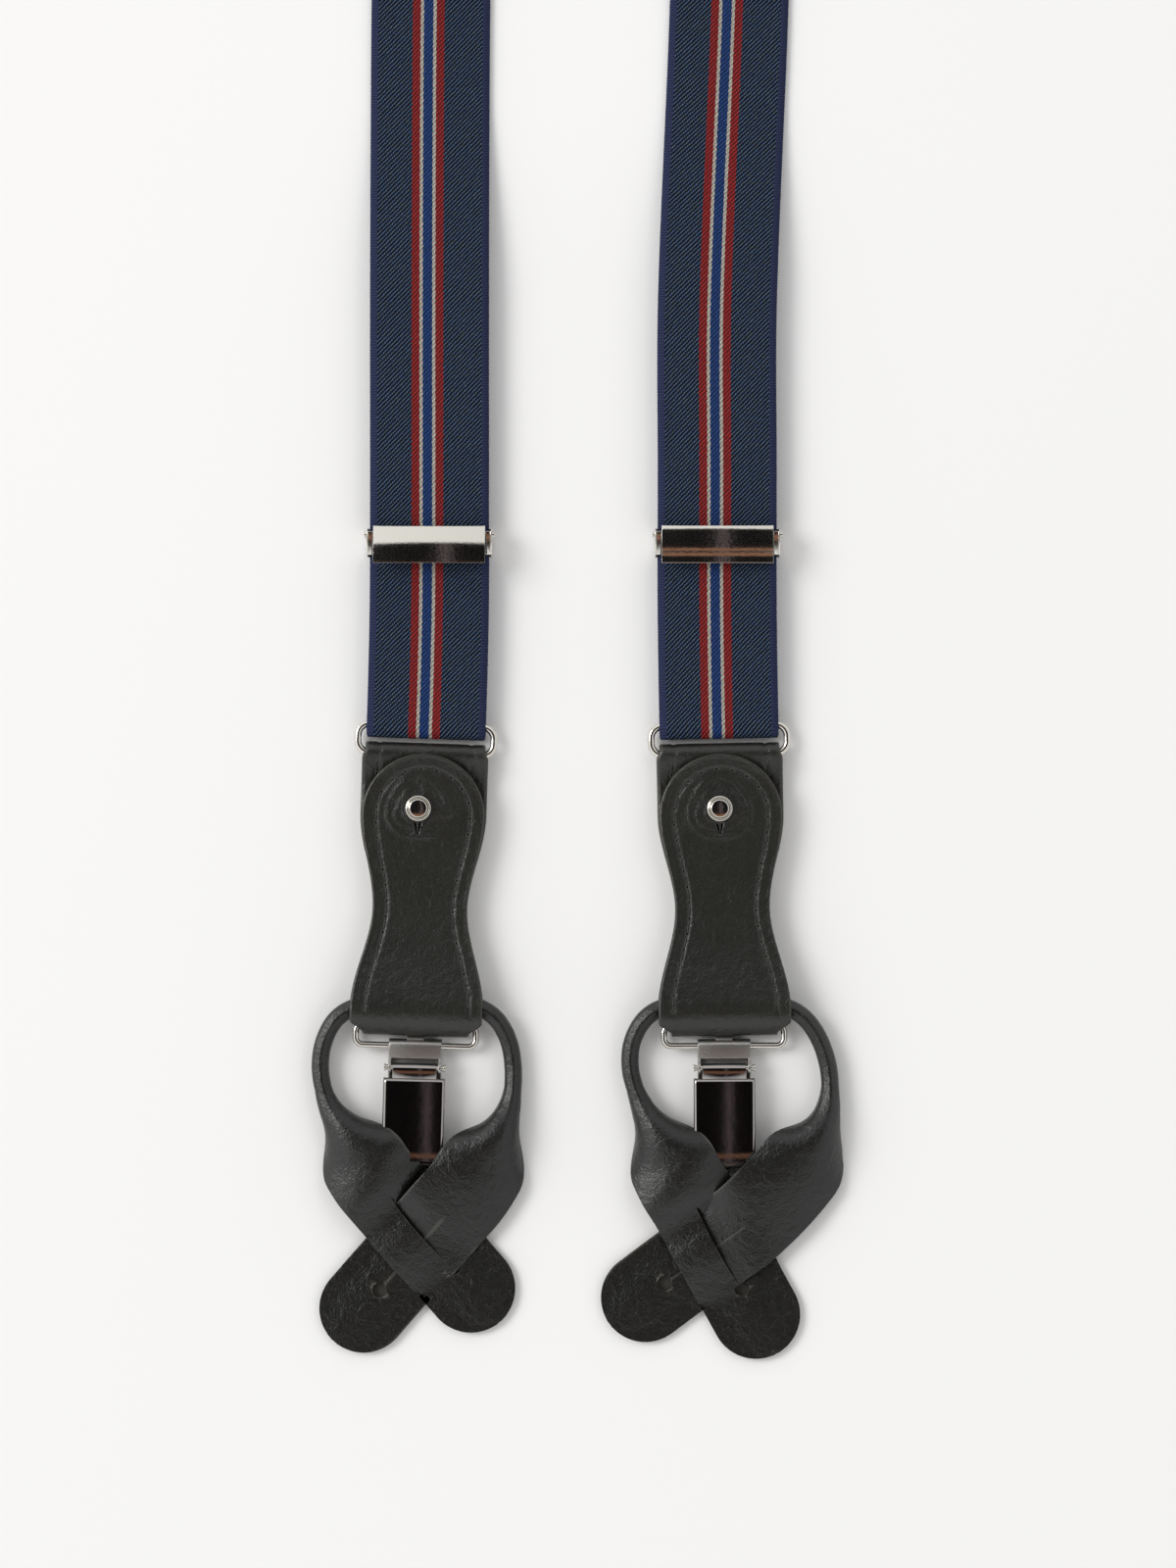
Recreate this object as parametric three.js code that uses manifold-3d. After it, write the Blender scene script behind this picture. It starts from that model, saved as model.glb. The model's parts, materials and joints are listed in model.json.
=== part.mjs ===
// Convertible suspenders laid out flat: two elastic front straps with adjusters run up to a leather
// back patch, one rear strap leaves it, and each of the three straps ends in a leather tab that
// carries a flip clip on a wire ring and a rolled leather runner with two buttonhole tongues.
// Millimetres, +Z up, the face that is worn outwards looks up, the fronts point to -Y.
import * as THREE from "three";
import { mergeVertices } from "three/addons/utils/BufferGeometryUtils.js";
import Module from "manifold-3d";

const wasm = await Module();
wasm.setup();

// ---------- driving dimensions ----------
const CLEAR = 0.3; // free gap between pieces that lie on or in each other
const WEB = { width: 34.6, thick: 1.4 };
const LEATHER = 1.8;

// Oval wire loop between a strap and its tab, and the smaller one that carries the clip.
const STRAP_RING = { width: 41.7, height: 10.3, wire: 2.1, corner: 3.3 };
const CLIP_RING = { width: 36.9, height: 7.9, wire: 1.9, corner: 2.2 };
const WIRE_GAP = 0.3; // where the bent wire's two ends meet

// Leather tab, along its own -Y from the strap ring's centre.
const TAB = {
  length: 83.1, // strap ring centre to clip ring's upper bar
  endRadius: 17.8, // the flap's round end
  endCentre: 22.0, // from the strap ring's centre to the round end's centre
  waist: 13.7, // half width at the waist
  waistAt: 49.0,
  foot: 19.2, // half width above the bottom fold
  head: 18.3, // half width of the back layer below the strap ring
  squeeze: 5.0, // length over which the leather narrows to pass inside a ring
  headEnd: 33.0, // where the folded-over head stops under the flap
};
const STUD = { at: 20.0, head: 8.0, neck: 4.4, flange: 9.0, flangeThick: 0.8, shank: 2.6 };
const SCREW = { head: 6.4, sunk: 0.15, thick: 0.8 };

// Flip clip, along its own -Y from the clip ring's upper bar.
const CLIP = {
  bodyWidth: 15.3,
  sheet: 0.8,
  loopToPin: 6.3, // ring bar to pin
  pinRise: 2.1, // pin above the ring bar
  pin: 1.5,
  pinLength: 17.8,
  mouth: 35.6, // ring bar to the jaws' lip
  leverWidth: 18.3,
  leverEnd: 33.4, // ring bar to the lever's free end
  padLength: 7.5,
  padThick: 0.75,
};

// Rolled runner, measured from the point where it passes the tab's fold.
const RUNNER = {
  roll: 5.2,
  tongue: 26.0,
  keyhole: 4.3,
  rolledFor: 46.0, // from the fold to where the roll starts to open into a tongue
  flare: 28.0,
  tilt: 0.2, // rise across a tongue where its inner edge lies on the clip
  tiltTo: 79.0,
  bunch: 3.7, // how much narrower a tongue is where the two cross
};

const ADJUSTER = {
  at: 57.2, // frame's middle, from the strap ring's centre
  height: 8.6,
  wall: 0.6,
  plate: 0.7,
  bar: 1.6,
  pin: 1.2,
  pinAt: 2.2, // pivot above the frame's middle
  leverInset: 2.2, // from the frame's inner side to the lever's side
  leverTop: 2.8, // lever's upper edge above the pivot
  leverBottom: 7.6, // lever's lower edge below the pivot
  cam: 1.9,
};

const PATCH = { from: 498.0, to: 574.0, arms: 41.0, stem: 20.5, thick: 1.6, x: -3.0 };
const REAR_RING_AT = 700.0;

// ---------- derived heights ----------
const leatherLoop = STRAP_RING.wire / 2 + CLEAR + LEATHER / 2; // mid-surface radius round the strap ring
const webLoop = STRAP_RING.wire / 2 + CLEAR + WEB.thick / 2;
const strapRingZ = leatherLoop + LEATHER / 2;
const ringBar = (STRAP_RING.height - STRAP_RING.wire) / 2; // bar's distance from the ring's middle
const clipLoop = CLIP_RING.wire / 2 + 0.35 + LEATHER / 2;
const clipRingZ = clipLoop + LEATHER / 2;
const webBackZ = strapRingZ - webLoop;
const webFloorZ = WEB.thick / 2 + 0.1;
const sewnRadius = ADJUSTER.plate / 2 + CLEAR + WEB.thick / 2;
const frameBarZ = webFloorZ + sewnRadius; // mid height of the adjuster frame's flat bars
const overFrameZ = frameBarZ + sewnRadius + WEB.thick + CLEAR;
const webTopZ = Math.max(strapRingZ + webLoop, overFrameZ); // front layer over the ring and the adjuster
const cordZ = LEATHER + CLEAR + RUNNER.roll / 2;
const flapEndZ = LEATHER * 2 + CLEAR + STUD.flangeThick + CLEAR + LEATHER / 2 + 0.1;

const LOOKS = {
  webbing: new THREE.MeshStandardMaterial({ color: 0x1f2f4f, roughness: 0.9, metalness: 0 }),
  leather: new THREE.MeshStandardMaterial({ color: 0x1c1d1b, roughness: 0.55, metalness: 0 }),
  nickel: new THREE.MeshStandardMaterial({ color: 0xc9c8c4, roughness: 0.12, metalness: 1 }),
  gunmetal: new THREE.MeshStandardMaterial({ color: 0x8a8789, roughness: 0.1, metalness: 1 }),
  liner: new THREE.MeshStandardMaterial({ color: 0x17171a, roughness: 0.5, metalness: 0 }),
};

// ---------- geometry helpers ----------
function solidOf(geometry) {
  const bare = geometry.clone();
  for (const name of Object.keys(bare.attributes)) if (name !== "position") bare.deleteAttribute(name);
  const merged = mergeVertices(bare, 1e-3);
  return new wasm.Manifold(
    new wasm.Mesh({
      numProp: 3,
      vertProperties: merged.attributes.position.array,
      triVerts: new Uint32Array(merged.index.array),
    }),
  );
}

function geometryOf(solid) {
  const mesh = solid.getMesh();
  const places = new Float32Array(mesh.numVert * 3);
  for (let i = 0; i < mesh.numVert; i++)
    places.set(mesh.vertProperties.subarray(i * mesh.numProp, i * mesh.numProp + 3), i * 3);
  return new THREE.BufferGeometry()
    .setAttribute("position", new THREE.BufferAttribute(places, 3))
    .setIndex(new THREE.BufferAttribute(mesh.triVerts, 1));
}

const join = (...parts) => geometryOf(parts.map(solidOf).reduce((a, b) => a.add(b)));
const cut = (part, ...tools) => geometryOf(tools.map(solidOf).reduce((a, b) => a.subtract(b), solidOf(part)));

// A closed skin over cross-sections that all have the same number of corners.
function loft(sections) {
  const corners = sections[0].length;
  const places = sections.flat().flatMap((p) => [p.x, p.y, p.z]);
  const faces = [];
  for (let i = 0; i + 1 < sections.length; i++)
    for (let j = 0; j < corners; j++) {
      const [a, b] = [i * corners + j, i * corners + ((j + 1) % corners)];
      faces.push(a, b, b + corners, a, b + corners, a + corners);
    }
  const last = (sections.length - 1) * corners;
  for (let j = 1; j + 1 < corners; j++) faces.push(0, j + 1, j, last, last + j, last + j + 1);
  const at = (k) => new THREE.Vector3(...places.slice(k * 3, k * 3 + 3));
  let volume = 0;
  for (let f = 0; f < faces.length; f += 3)
    volume += at(faces[f]).dot(at(faces[f + 1]).cross(at(faces[f + 2])));
  if (volume < 0) faces.reverse();
  return new THREE.BufferGeometry()
    .setAttribute("position", new THREE.Float32BufferAttribute(places, 3))
    .setIndex(faces);
}

function box(width, length, height, x, y, z) {
  return new THREE.BoxGeometry(width, length, height).translate(x, y, z);
}

// An upright round bar from z = low to z = high.
function post(diameter, low, high, x, y, sides = 16) {
  return new THREE.CylinderGeometry(diameter / 2, diameter / 2, high - low, sides)
    .rotateX(Math.PI / 2)
    .translate(x, y, (low + high) / 2);
}

// A round bar along X.
function crossPin(diameter, length, y, z, sides = 14) {
  return new THREE.CylinderGeometry(diameter / 2, diameter / 2, length, sides)
    .rotateZ(Math.PI / 2)
    .translate(0, y, z);
}

// A side outline given as a Shape in (y, z), extruded across X by width, about x = 0.
function sideExtrude(shape, width, segments = 8) {
  return new THREE.ExtrudeGeometry(shape, { depth: width, bevelEnabled: false, curveSegments: segments })
    .translate(0, 0, -width / 2)
    .applyMatrix4(new THREE.Matrix4().set(0, 0, 1, 0, 1, 0, 0, 0, 0, 1, 0, 0, 0, 0, 0, 1));
}

// Sheet metal of one thickness that follows a list of (y, z) corners.
function bentSheet(corners, thick, width) {
  const left = [];
  const right = [];
  corners.forEach(([y, z], i) => {
    const before = corners[Math.max(i - 1, 0)];
    const after = corners[Math.min(i + 1, corners.length - 1)];
    const into = new THREE.Vector2(y - before[0], z - before[1]).normalize();
    const out = new THREE.Vector2(after[0] - y, after[1] - z).normalize();
    const along = (i === 0 ? out : i === corners.length - 1 ? into : into.clone().add(out)).normalize();
    const miter = thick / 2 / Math.max(along.dot(i === 0 ? out : into), 0.5);
    left.push(new THREE.Vector2(y - along.y * miter, z + along.x * miter));
    right.push(new THREE.Vector2(y + along.y * miter, z - along.x * miter));
  });
  return sideExtrude(new THREE.Shape([...left, ...right.reverse()]), width);
}

// A strip of leather whose middle follows a Path in (y, z); halfWidth takes the point's y.
function strip(path, halfWidth, thick, step = 3.4) {
  const sections = [];
  for (const curve of path.curves ?? [path]) {
    const steps = Math.ceil(curve.getLength() / (curve.isEllipseCurve ? 0.95 : step));
    for (let i = sections.length ? 1 : 0; i <= steps; i++) {
      const p = curve.getPointAt(i / steps);
      const t = curve.getTangentAt(i / steps);
      const [ny, nz] = [(-t.y * thick) / 2, (t.x * thick) / 2];
      const w = halfWidth(p.x);
      sections.push([
        new THREE.Vector3(-w, p.x - ny, p.y - nz),
        new THREE.Vector3(w, p.x - ny, p.y - nz),
        new THREE.Vector3(w, p.x + ny, p.y + nz),
        new THREE.Vector3(-w, p.x + ny, p.y + nz),
      ]);
    }
  }
  return loft(sections);
}

const smooth = (t) => {
  const c = THREE.MathUtils.clamp(t, 0, 1);
  return c * c * (3 - 2 * c);
};

// ---------- wire rings ----------
// Flat loop of round wire in the XY plane, its bars along X. The wire's ends meet on the bar at +Y.
function wireRing({ width, height, wire, corner }, z) {
  const top = (height - wire) / 2;
  const side = (width - wire) / 2;
  const [x, y] = [side - corner, top - corner];
  const middle = new THREE.Path();
  middle.moveTo(-WIRE_GAP / 2, top);
  middle.lineTo(-x, top);
  middle.absarc(-x, y, corner, Math.PI / 2, Math.PI, false);
  middle.absarc(-x, -y, corner, Math.PI, (3 * Math.PI) / 2, false);
  middle.lineTo(x, -top);
  middle.absarc(x, -y, corner, -Math.PI / 2, 0, false);
  middle.absarc(x, y, corner, 0, Math.PI / 2, false);
  middle.lineTo(WIRE_GAP / 2, top);
  const centres = middle.getPoints(3).filter((p, i, all) => i === 0 || p.distanceTo(all[i - 1]) > 1e-3);
  return loft(
    centres.map((p, i) => {
      const before = centres[Math.max(i - 1, 0)];
      const t = centres[Math.min(i + 1, centres.length - 1)].clone().sub(before).normalize();
      return Array.from({ length: 6 }, (_, k) => {
        const a = k * (Math.PI / 3);
        const side = (Math.cos(a) * wire) / 2;
        return new THREE.Vector3(p.x - t.y * side, p.y + t.x * side, z + (Math.sin(a) * wire) / 2);
      });
    }),
  );
}

// ---------- straps ----------
// One length of webbing along a plan curve. Each stop is [distance along the curve, mid height].
function webbing(curve, stops, thick = WEB.thick) {
  const length = curve.getLength();
  return loft(
    stops.map(([s, z, dy = 0, lean = null], i) => {
      const u = THREE.MathUtils.clamp(s / length, 0, 1);
      const p = curve.getPointAt(u);
      const t = curve.getTangentAt(u);
      const across = new THREE.Vector3(t.y, -t.x, 0).normalize();
      const along = new THREE.Vector3(t.x, t.y, 0).normalize();
      const before = stops[Math.max(i - 1, 0)];
      const after = stops[Math.min(i + 1, stops.length - 1)];
      const slope = lean ?? Math.atan2(after[1] - before[1], after[0] - before[0]);
      const up = along.clone().multiplyScalar(-Math.sin(slope)).add(new THREE.Vector3(0, 0, Math.cos(slope)));
      const mid = new THREE.Vector3(p.x, p.y, z).addScaledVector(along, dy);
      return [
        [-1, -1],
        [1, -1],
        [1, 1],
        [-1, 1],
      ].map(([a, b]) =>
        mid.clone().addScaledVector(across, (a * WEB.width) / 2).addScaledVector(up, (b * thick) / 2),
      );
    }),
  );
}

// Stops that bring the webbing round the ring's bar, from under it to over it.
function loopStops(steps = 6) {
  return Array.from({ length: steps + 1 }, (_, i) => {
    const a = -Math.PI / 2 - (Math.PI * i) / steps; // from straight below, by the -Y side, to straight above
    const lean = -(Math.PI * i) / steps - Math.PI;
    return [ringBar, strapRingZ + Math.sin(a) * webLoop, Math.cos(a) * webLoop, lean];
  });
}

function spread(from, to, step, height) {
  const count = Math.ceil((to - from) / step);
  return Array.from({ length: count + 1 }, (_, i) => {
    const s = from + ((to - from) * i) / count;
    return [s, height(s)];
  });
}

// ---------- leather tab ----------
function tabHalfWidth(y, head) {
  const d = -y; // distance below the strap ring's middle
  const { endCentre, waistAt, waist, length, foot, squeeze } = TAB;
  const inClipRing = CLIP_RING.width / 2 - CLIP_RING.wire - CLIP_RING.corner + 1.0;
  const inStrapRing = STRAP_RING.width / 2 - STRAP_RING.wire - STRAP_RING.corner + 1.5;
  const wide = head ? TAB.head : TAB.endRadius;
  if (head && d < 2 * squeeze) return THREE.MathUtils.lerp(inStrapRing, wide, smooth(d / squeeze - 1));
  if (d <= endCentre) return wide;
  if (d <= waistAt) return THREE.MathUtils.lerp(wide, waist, smooth((d - endCentre) / (waistAt - endCentre)));
  const low = THREE.MathUtils.lerp(waist, foot, smooth((d - waistAt) / (length - squeeze - waistAt)));
  return THREE.MathUtils.lerp(low, inClipRing, smooth((d - length + squeeze) / (squeeze - 2)));
}

function roundEnd(y) {
  const over = y + TAB.endCentre; // above the round end's centre
  if (over <= 0) return tabHalfWidth(y, false);
  return Math.max(Math.sqrt(Math.max(TAB.endRadius ** 2 - over ** 2, 0)), 0.8);
}

function tabBack(studX) {
  const path = new THREE.Path();
  const foldGap = 0.12; // angle left at the fold, where the flap's own solid begins
  path.absarc(-TAB.length, clipRingZ, clipLoop, Math.PI + foldGap, (3 * Math.PI) / 2, false);
  path.lineTo(-ringBar, LEATHER / 2);
  path.absarc(-ringBar, strapRingZ, leatherLoop, -Math.PI / 2, Math.PI / 2, false);
  path.splineThru([
    new THREE.Vector2(-ringBar - 4.5, LEATHER * 1.5 + CLEAR + 1.0),
    new THREE.Vector2(-ringBar - 9, LEATHER * 1.5 + CLEAR),
    new THREE.Vector2(-TAB.headEnd, LEATHER * 1.5 + CLEAR),
  ]);
  return cut(
    strip(path, (y) => tabHalfWidth(y, true), LEATHER),
    post(STUD.shank + 2 * CLEAR, -1, 2 * LEATHER + CLEAR + 1, studX, -STUD.at),
    post(SCREW.head + 2 * CLEAR, -1, SCREW.sunk + SCREW.thick + CLEAR, studX, -STUD.at),
  );
}

function tabFlap(studX) {
  const overCord = cordZ + RUNNER.roll / 2 + CLEAR + LEATHER / 2;
  const fold = TAB.length + clipLoop;
  const points = [
    [-fold, clipRingZ + 0.3],
    [-fold + 0.4, clipRingZ + 2.0],
    [-TAB.length - 0.2, clipRingZ + 3.8],
    [-TAB.length + 2.6, overCord - 0.1],
    [-TAB.length + 5.8, overCord + 0.1],
    [-TAB.length + 9.5, overCord - 0.25],
    [-TAB.length + 22, flapEndZ + 0.7],
    [-TAB.waistAt, flapEndZ],
    [-TAB.endCentre, flapEndZ],
    [-TAB.endCentre + 10, flapEndZ + 0.35],
    [-TAB.endCentre + TAB.endRadius, flapEndZ + 1.5],
  ].map(([y, z]) => new THREE.Vector2(y, z));
  return cut(
    strip(new THREE.SplineCurve(points), roundEnd, LEATHER, 2.6),
    post(STUD.head + 4 * CLEAR, 2, 12, studX, -STUD.at, 18),
  );
}

// Ball-headed stud: a flange under the flap, a neck through its hole and a domed head on top.
function studPost(x) {
  const base = LEATHER * 2 + CLEAR + 0.1;
  const r = STUD.head / 2;
  const headZ = flapEndZ + LEATHER / 2 + 0.2;
  const socket = STUD.shank / 2 + 0.15;
  const profile = [
    [socket, base],
    [STUD.flange / 2, base],
    [STUD.flange / 2, base + STUD.flangeThick],
    [STUD.neck / 2, base + STUD.flangeThick],
    [STUD.neck / 2, headZ],
    [r * 0.8, headZ + 0.25],
    ...Array.from({ length: 5 }, (_, i) => {
      const a = -0.35 + (i * (Math.PI / 2 + 0.35)) / 5;
      return [r * Math.cos(a), headZ + 1.35 + r * 0.62 * Math.sin(a)];
    }),
    [0, headZ + 1.35 + r * 0.62],
    [0, base + 2.2],
    [socket, base + 2.2],
    [socket, base],
  ].map(([a, z]) => new THREE.Vector2(a, z));
  return new THREE.LatheGeometry(profile, 14).rotateX(Math.PI / 2).translate(x, -STUD.at, 0);
}

function studScrew(x) {
  return join(
    post(SCREW.head, SCREW.sunk, SCREW.sunk + SCREW.thick, x, -STUD.at),
    post(STUD.shank, SCREW.sunk + SCREW.thick - 0.1, LEATHER * 2 + CLEAR + 2, x, -STUD.at, 14),
  );
}

// ---------- flip clip ----------
// Built with the ring's lower bar at y = 0, z = barZ.
const barZ = clipRingZ;
const clipRoll = CLIP_RING.wire / 2 + CLEAR + CLIP.sheet / 2; // mid radius of the roll round the bar
const pinY = -CLIP.loopToPin;
const pinZ = barZ + CLIP.pinRise;
const baseZ = barZ - clipRoll; // mid height of the base plate

function clipBase() {
  const roll = Array.from({ length: 7 }, (_, i) => {
    const a = -Math.PI / 2 + (Math.PI * i) / 6;
    return [Math.cos(a) * clipRoll, barZ + Math.sin(a) * clipRoll];
  });
  const plate = bentSheet(
    [
      [-CLIP.mouth, baseZ - 0.15],
      [-CLIP.mouth + 1.2, baseZ - 0.85],
      [-CLIP.mouth + CLIP.padLength + 1.5, baseZ - 0.85],
      [-CLIP.mouth + CLIP.padLength + 4, baseZ],
      ...roll,
      [pinY + 2.9, barZ + clipRoll],
    ],
    CLIP.sheet,
    CLIP.bodyWidth,
  );
  const ear = new THREE.Shape();
  const low = baseZ - CLIP.sheet / 2 + 0.1;
  ear.moveTo(-2.4, low);
  ear.lineTo(-2.4, barZ + clipRoll);
  ear.lineTo(pinY + 1.5, pinZ + 0.9);
  ear.absarc(pinY, pinZ, 1.6, Math.PI / 4, Math.PI, false);
  ear.lineTo(pinY - 4.2, low + 1.4);
  ear.lineTo(pinY - 5.6, low);
  const ears = [-1, 1].map((side) =>
    sideExtrude(ear, CLIP.sheet, 5).translate(side * (CLIP.bodyWidth / 2 - CLIP.sheet / 2), 0, 0),
  );
  return cut(join(plate, ...ears), crossPin(CLIP.pin + 0.1, CLIP.bodyWidth + 4, pinY, pinZ));
}

function clipJaw() {
  const z = baseZ + CLIP.sheet + CLEAR;
  const body = bentSheet(
    [
      [-clipRoll - 0.4, z],
      [-CLIP.mouth + CLIP.padLength + 4, z],
      [-CLIP.mouth + CLIP.padLength + 1.5, z + 0.75],
      [-CLIP.mouth + 0.9, z + 0.75],
      [-CLIP.mouth, z + 0.2],
    ],
    CLIP.sheet,
    CLIP.bodyWidth - 2 * CLIP.sheet - 2 * CLEAR,
  );
  const lipY = -CLIP.mouth + 0.9 + CLIP.padLength / 2;
  const lips = box(CLIP.bodyWidth, CLIP.padLength, CLIP.sheet, 0, lipY, z + 0.75);
  return join(body, lips);
}

function clipPad(onJaw) {
  const baseTop = baseZ - 0.85 + CLIP.sheet / 2;
  const jawUnder = baseZ + CLIP.sheet + CLEAR + 0.75 - CLIP.sheet / 2;
  const z = onJaw ? jawUnder - 0.02 - CLIP.padThick / 2 : baseTop + 0.02 + CLIP.padThick / 2;
  const length = CLIP.padLength - 2;
  return box(CLIP.bodyWidth - 1.2, length, CLIP.padThick, 0, -CLIP.mouth + 1.9 + length / 2, z);
}

function clipLever() {
  const coreWidth = CLIP.bodyWidth - 2 * CLIP.sheet - 2 * CLEAR;
  const cam = new THREE.Shape();
  cam.moveTo(pinY + 1.25, pinZ + 0.3);
  cam.quadraticCurveTo(pinY + 1.35, pinZ - 1.4, pinY, pinZ - 1.85);
  cam.lineTo(pinY - 1.2, pinZ - 1.6);
  cam.lineTo(pinY - 3.9, pinZ + 0.5);
  cam.lineTo(pinY - 3.9, pinZ + 1.3);
  cam.lineTo(pinY, pinZ + 1.4);
  cam.quadraticCurveTo(pinY + 1.1, pinZ + 1.4, pinY + 1.25, pinZ + 0.3);
  // The cover plate is a shallow trough: crowned across, with its side flanges turned down.
  const top = pinZ + 1.5;
  const half = CLIP.leverWidth / 2;
  const section = new THREE.Shape();
  section.moveTo(-half, top - 2.1);
  section.lineTo(-half, top - 0.3);
  section.quadraticCurveTo(-half, top + 0.25, -half + 0.9, top + 0.35);
  section.quadraticCurveTo(0, top + 0.75, half - 0.9, top + 0.35);
  section.quadraticCurveTo(half, top + 0.25, half, top - 0.3);
  section.lineTo(half, top - 2.1);
  section.lineTo(half - 0.7, top - 2.1);
  section.lineTo(half - 0.7, top - 0.7);
  section.lineTo(-half + 0.7, top - 0.7);
  section.lineTo(-half + 0.7, top - 2.1);
  const from = CLIP.loopToPin + 3.3;
  const options = { depth: CLIP.leverEnd - from, bevelEnabled: false, curveSegments: 5 };
  const plate = new THREE.ExtrudeGeometry(section, options)
    .rotateX(Math.PI / 2)
    .translate(0, -from, 0);
  const corner = (side) =>
    box(4.6, 4.6, 8, 0, 0, 0).rotateZ(Math.PI / 4).translate(side * (half + 0.6), -CLIP.leverEnd - 0.6, top);
  return cut(
    join(sideExtrude(cam, coreWidth, 6), plate),
    corner(-1),
    corner(1),
    crossPin(CLIP.pin + 0.3, coreWidth + 4, pinY, pinZ),
  );
}

// ---------- leather runner ----------
// A rolled strip of leather that hangs in the tab's fold and opens into two tongues with buttonholes.
// Each side is a route of (x, y, mid height) from the fold down to its tongue's tip.
const TONGUE_Z = LEATHER / 2 + 0.05;
const FOLD_ROUTE = [[0, 5.4], [10, 4.8], [18.6, 3.3]];
const ROUTES = {
  left: {
    a: [[-23.4, 0.0, 4.6], [-26.9, -6.6, 3.8], [-27.9, -14.6, 3.4], [-25.8, -24.0, 4.2], [-21.6, -31.2, 5.8],
      [-16.8, -38.6, 7.2], [-12.5, -45.5, 7.5], [-9.4, -49.2, 6.6], [-4.0, -55.4, 3.0], [1.5, -61.7, 1.4],
      [10.6, -72.3, TONGUE_Z], [24.3, -88.2, TONGUE_Z]],
    b: [[23.4, 0.0, 4.6], [26.9, -6.4, 3.8], [28.2, -14.8, 3.4], [27.6, -23.4, 4.2], [24.8, -32.0, 5.8],
      [20.2, -41.0, 6.8], [15.2, -49.2, 6.6], [8.3, -57.1, 5.6], [2.9, -63.4, 3.9], [-3.4, -70.6, 3.0],
      [-10.7, -78.9, 1.3], [-14.6, -83.4, TONGUE_Z], [-23.8, -94.0, TONGUE_Z]],
    holeA: [10.6, -72.3],
    holeB: [-10.7, -78.9],
  },
  right: {
    a: [[-23.4, 0.0, 4.6], [-26.9, -6.6, 3.8], [-27.4, -14.6, 3.4], [-24.4, -24.4, 4.2], [-20.4, -32.2, 5.8],
      [-16.0, -40.2, 7.2], [-12.6, -47.2, 7.5], [-10.2, -51.0, 6.6], [-6.2, -57.6, 3.0], [-2.0, -65.2, 1.4],
      [5.0, -78.4, TONGUE_Z], [15.4, -97.3, TONGUE_Z]],
    b: [[23.6, 0.0, 4.6], [27.8, -6.4, 3.8], [30.4, -15.6, 3.4], [30.2, -25.4, 4.2], [27.2, -34.4, 5.8],
      [21.4, -43.4, 6.8], [14.2, -51.6, 6.6], [5.9, -59.6, 5.6], [-1.2, -65.0, 3.9], [-8.6, -70.4, 3.0],
      [-17.4, -76.9, 1.3], [-22.6, -80.8, TONGUE_Z], [-33.4, -88.8, TONGUE_Z]],
    holeA: [5.0, -78.4],
    holeB: [-17.4, -76.9],
  },
};

// One cross-section, its corners cut; the rise lifts its right side, seen along the heading.
function bandSection(centre, heading, halfWidth, halfThick, rise) {
  const across = new THREE.Vector3(heading.y, -heading.x, rise);
  const bevel = halfThick * 0.5;
  return [
    [halfWidth, -halfThick + bevel], [halfWidth, halfThick - bevel],
    [halfWidth - bevel, halfThick], [-halfWidth + bevel, halfThick],
    [-halfWidth, halfThick - bevel], [-halfWidth, -halfThick + bevel],
    [-halfWidth + bevel, -halfThick], [halfWidth - bevel, -halfThick],
  ].map(([a, b]) => centre.clone().addScaledVector(across, a).add(new THREE.Vector3(0, 0, b)));
}

function runnerSide(route, side, crossAt) {
  const fold = FOLD_ROUTE.map(([x, y]) => new THREE.Vector3(side * x, y, cordZ + 0.05));
  fold[0].x = -side * 0.4; // the two sides grow into each other in the fold
  const points = [...fold, ...route.map((p) => new THREE.Vector3(...p))];
  const curve = new THREE.CatmullRomCurve3(points, false, "centripetal");
  const length = curve.getLength();
  const half = RUNNER.tongue / 2;
  const stations = 34;
  return loft(
    Array.from({ length: stations + 1 }, (_, i) => {
      const s = (length * i) / stations;
      const p = curve.getPointAt(i / stations);
      const t = curve.getTangentAt(i / stations).setZ(0).normalize();
      const flat = smooth((s - RUNNER.rolledFor) / RUNNER.flare);
      const crossing = 1 - smooth(Math.abs(s - length + crossAt) / 14);
      const open = THREE.MathUtils.lerp(RUNNER.roll / 2, half, flat) - RUNNER.bunch * crossing;
      const left = Math.min(length - s, half);
      const w = Math.min(open, Math.max(Math.sqrt(half ** 2 - (half - left) ** 2), 0.6));
      const thick = THREE.MathUtils.lerp(RUNNER.roll / 2, LEATHER / 2, smooth(flat * 1.6));
      const onClip = smooth((s - RUNNER.rolledFor) / 20) * (1 - smooth((s - RUNNER.tiltTo) / 12));
      return bandSection(p, t, w, thick, side * RUNNER.tilt * onClip);
    }),
  );
}

function runnerBand({ a, b, holeA, holeB }) {
  const holes = [holeA, holeB].map(([x, y]) => post(RUNNER.keyhole, -3, 9, x, y, 12));
  return cut(join(runnerSide(a, -1, 35), runnerSide(b, 1, 41)), ...holes);
}

// ---------- adjuster ----------
// Built with the frame's middle at y = 0; heights are above the floor.
const barTop = frameBarZ + ADJUSTER.plate / 2;
const pivotZ = webTopZ + WEB.thick / 2 + CLEAR + ADJUSTER.cam + 0.2;
const frameInner = WEB.width + 2 * CLEAR;
const adjusterLeverWidth = frameInner - 2 * ADJUSTER.leverInset;

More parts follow.
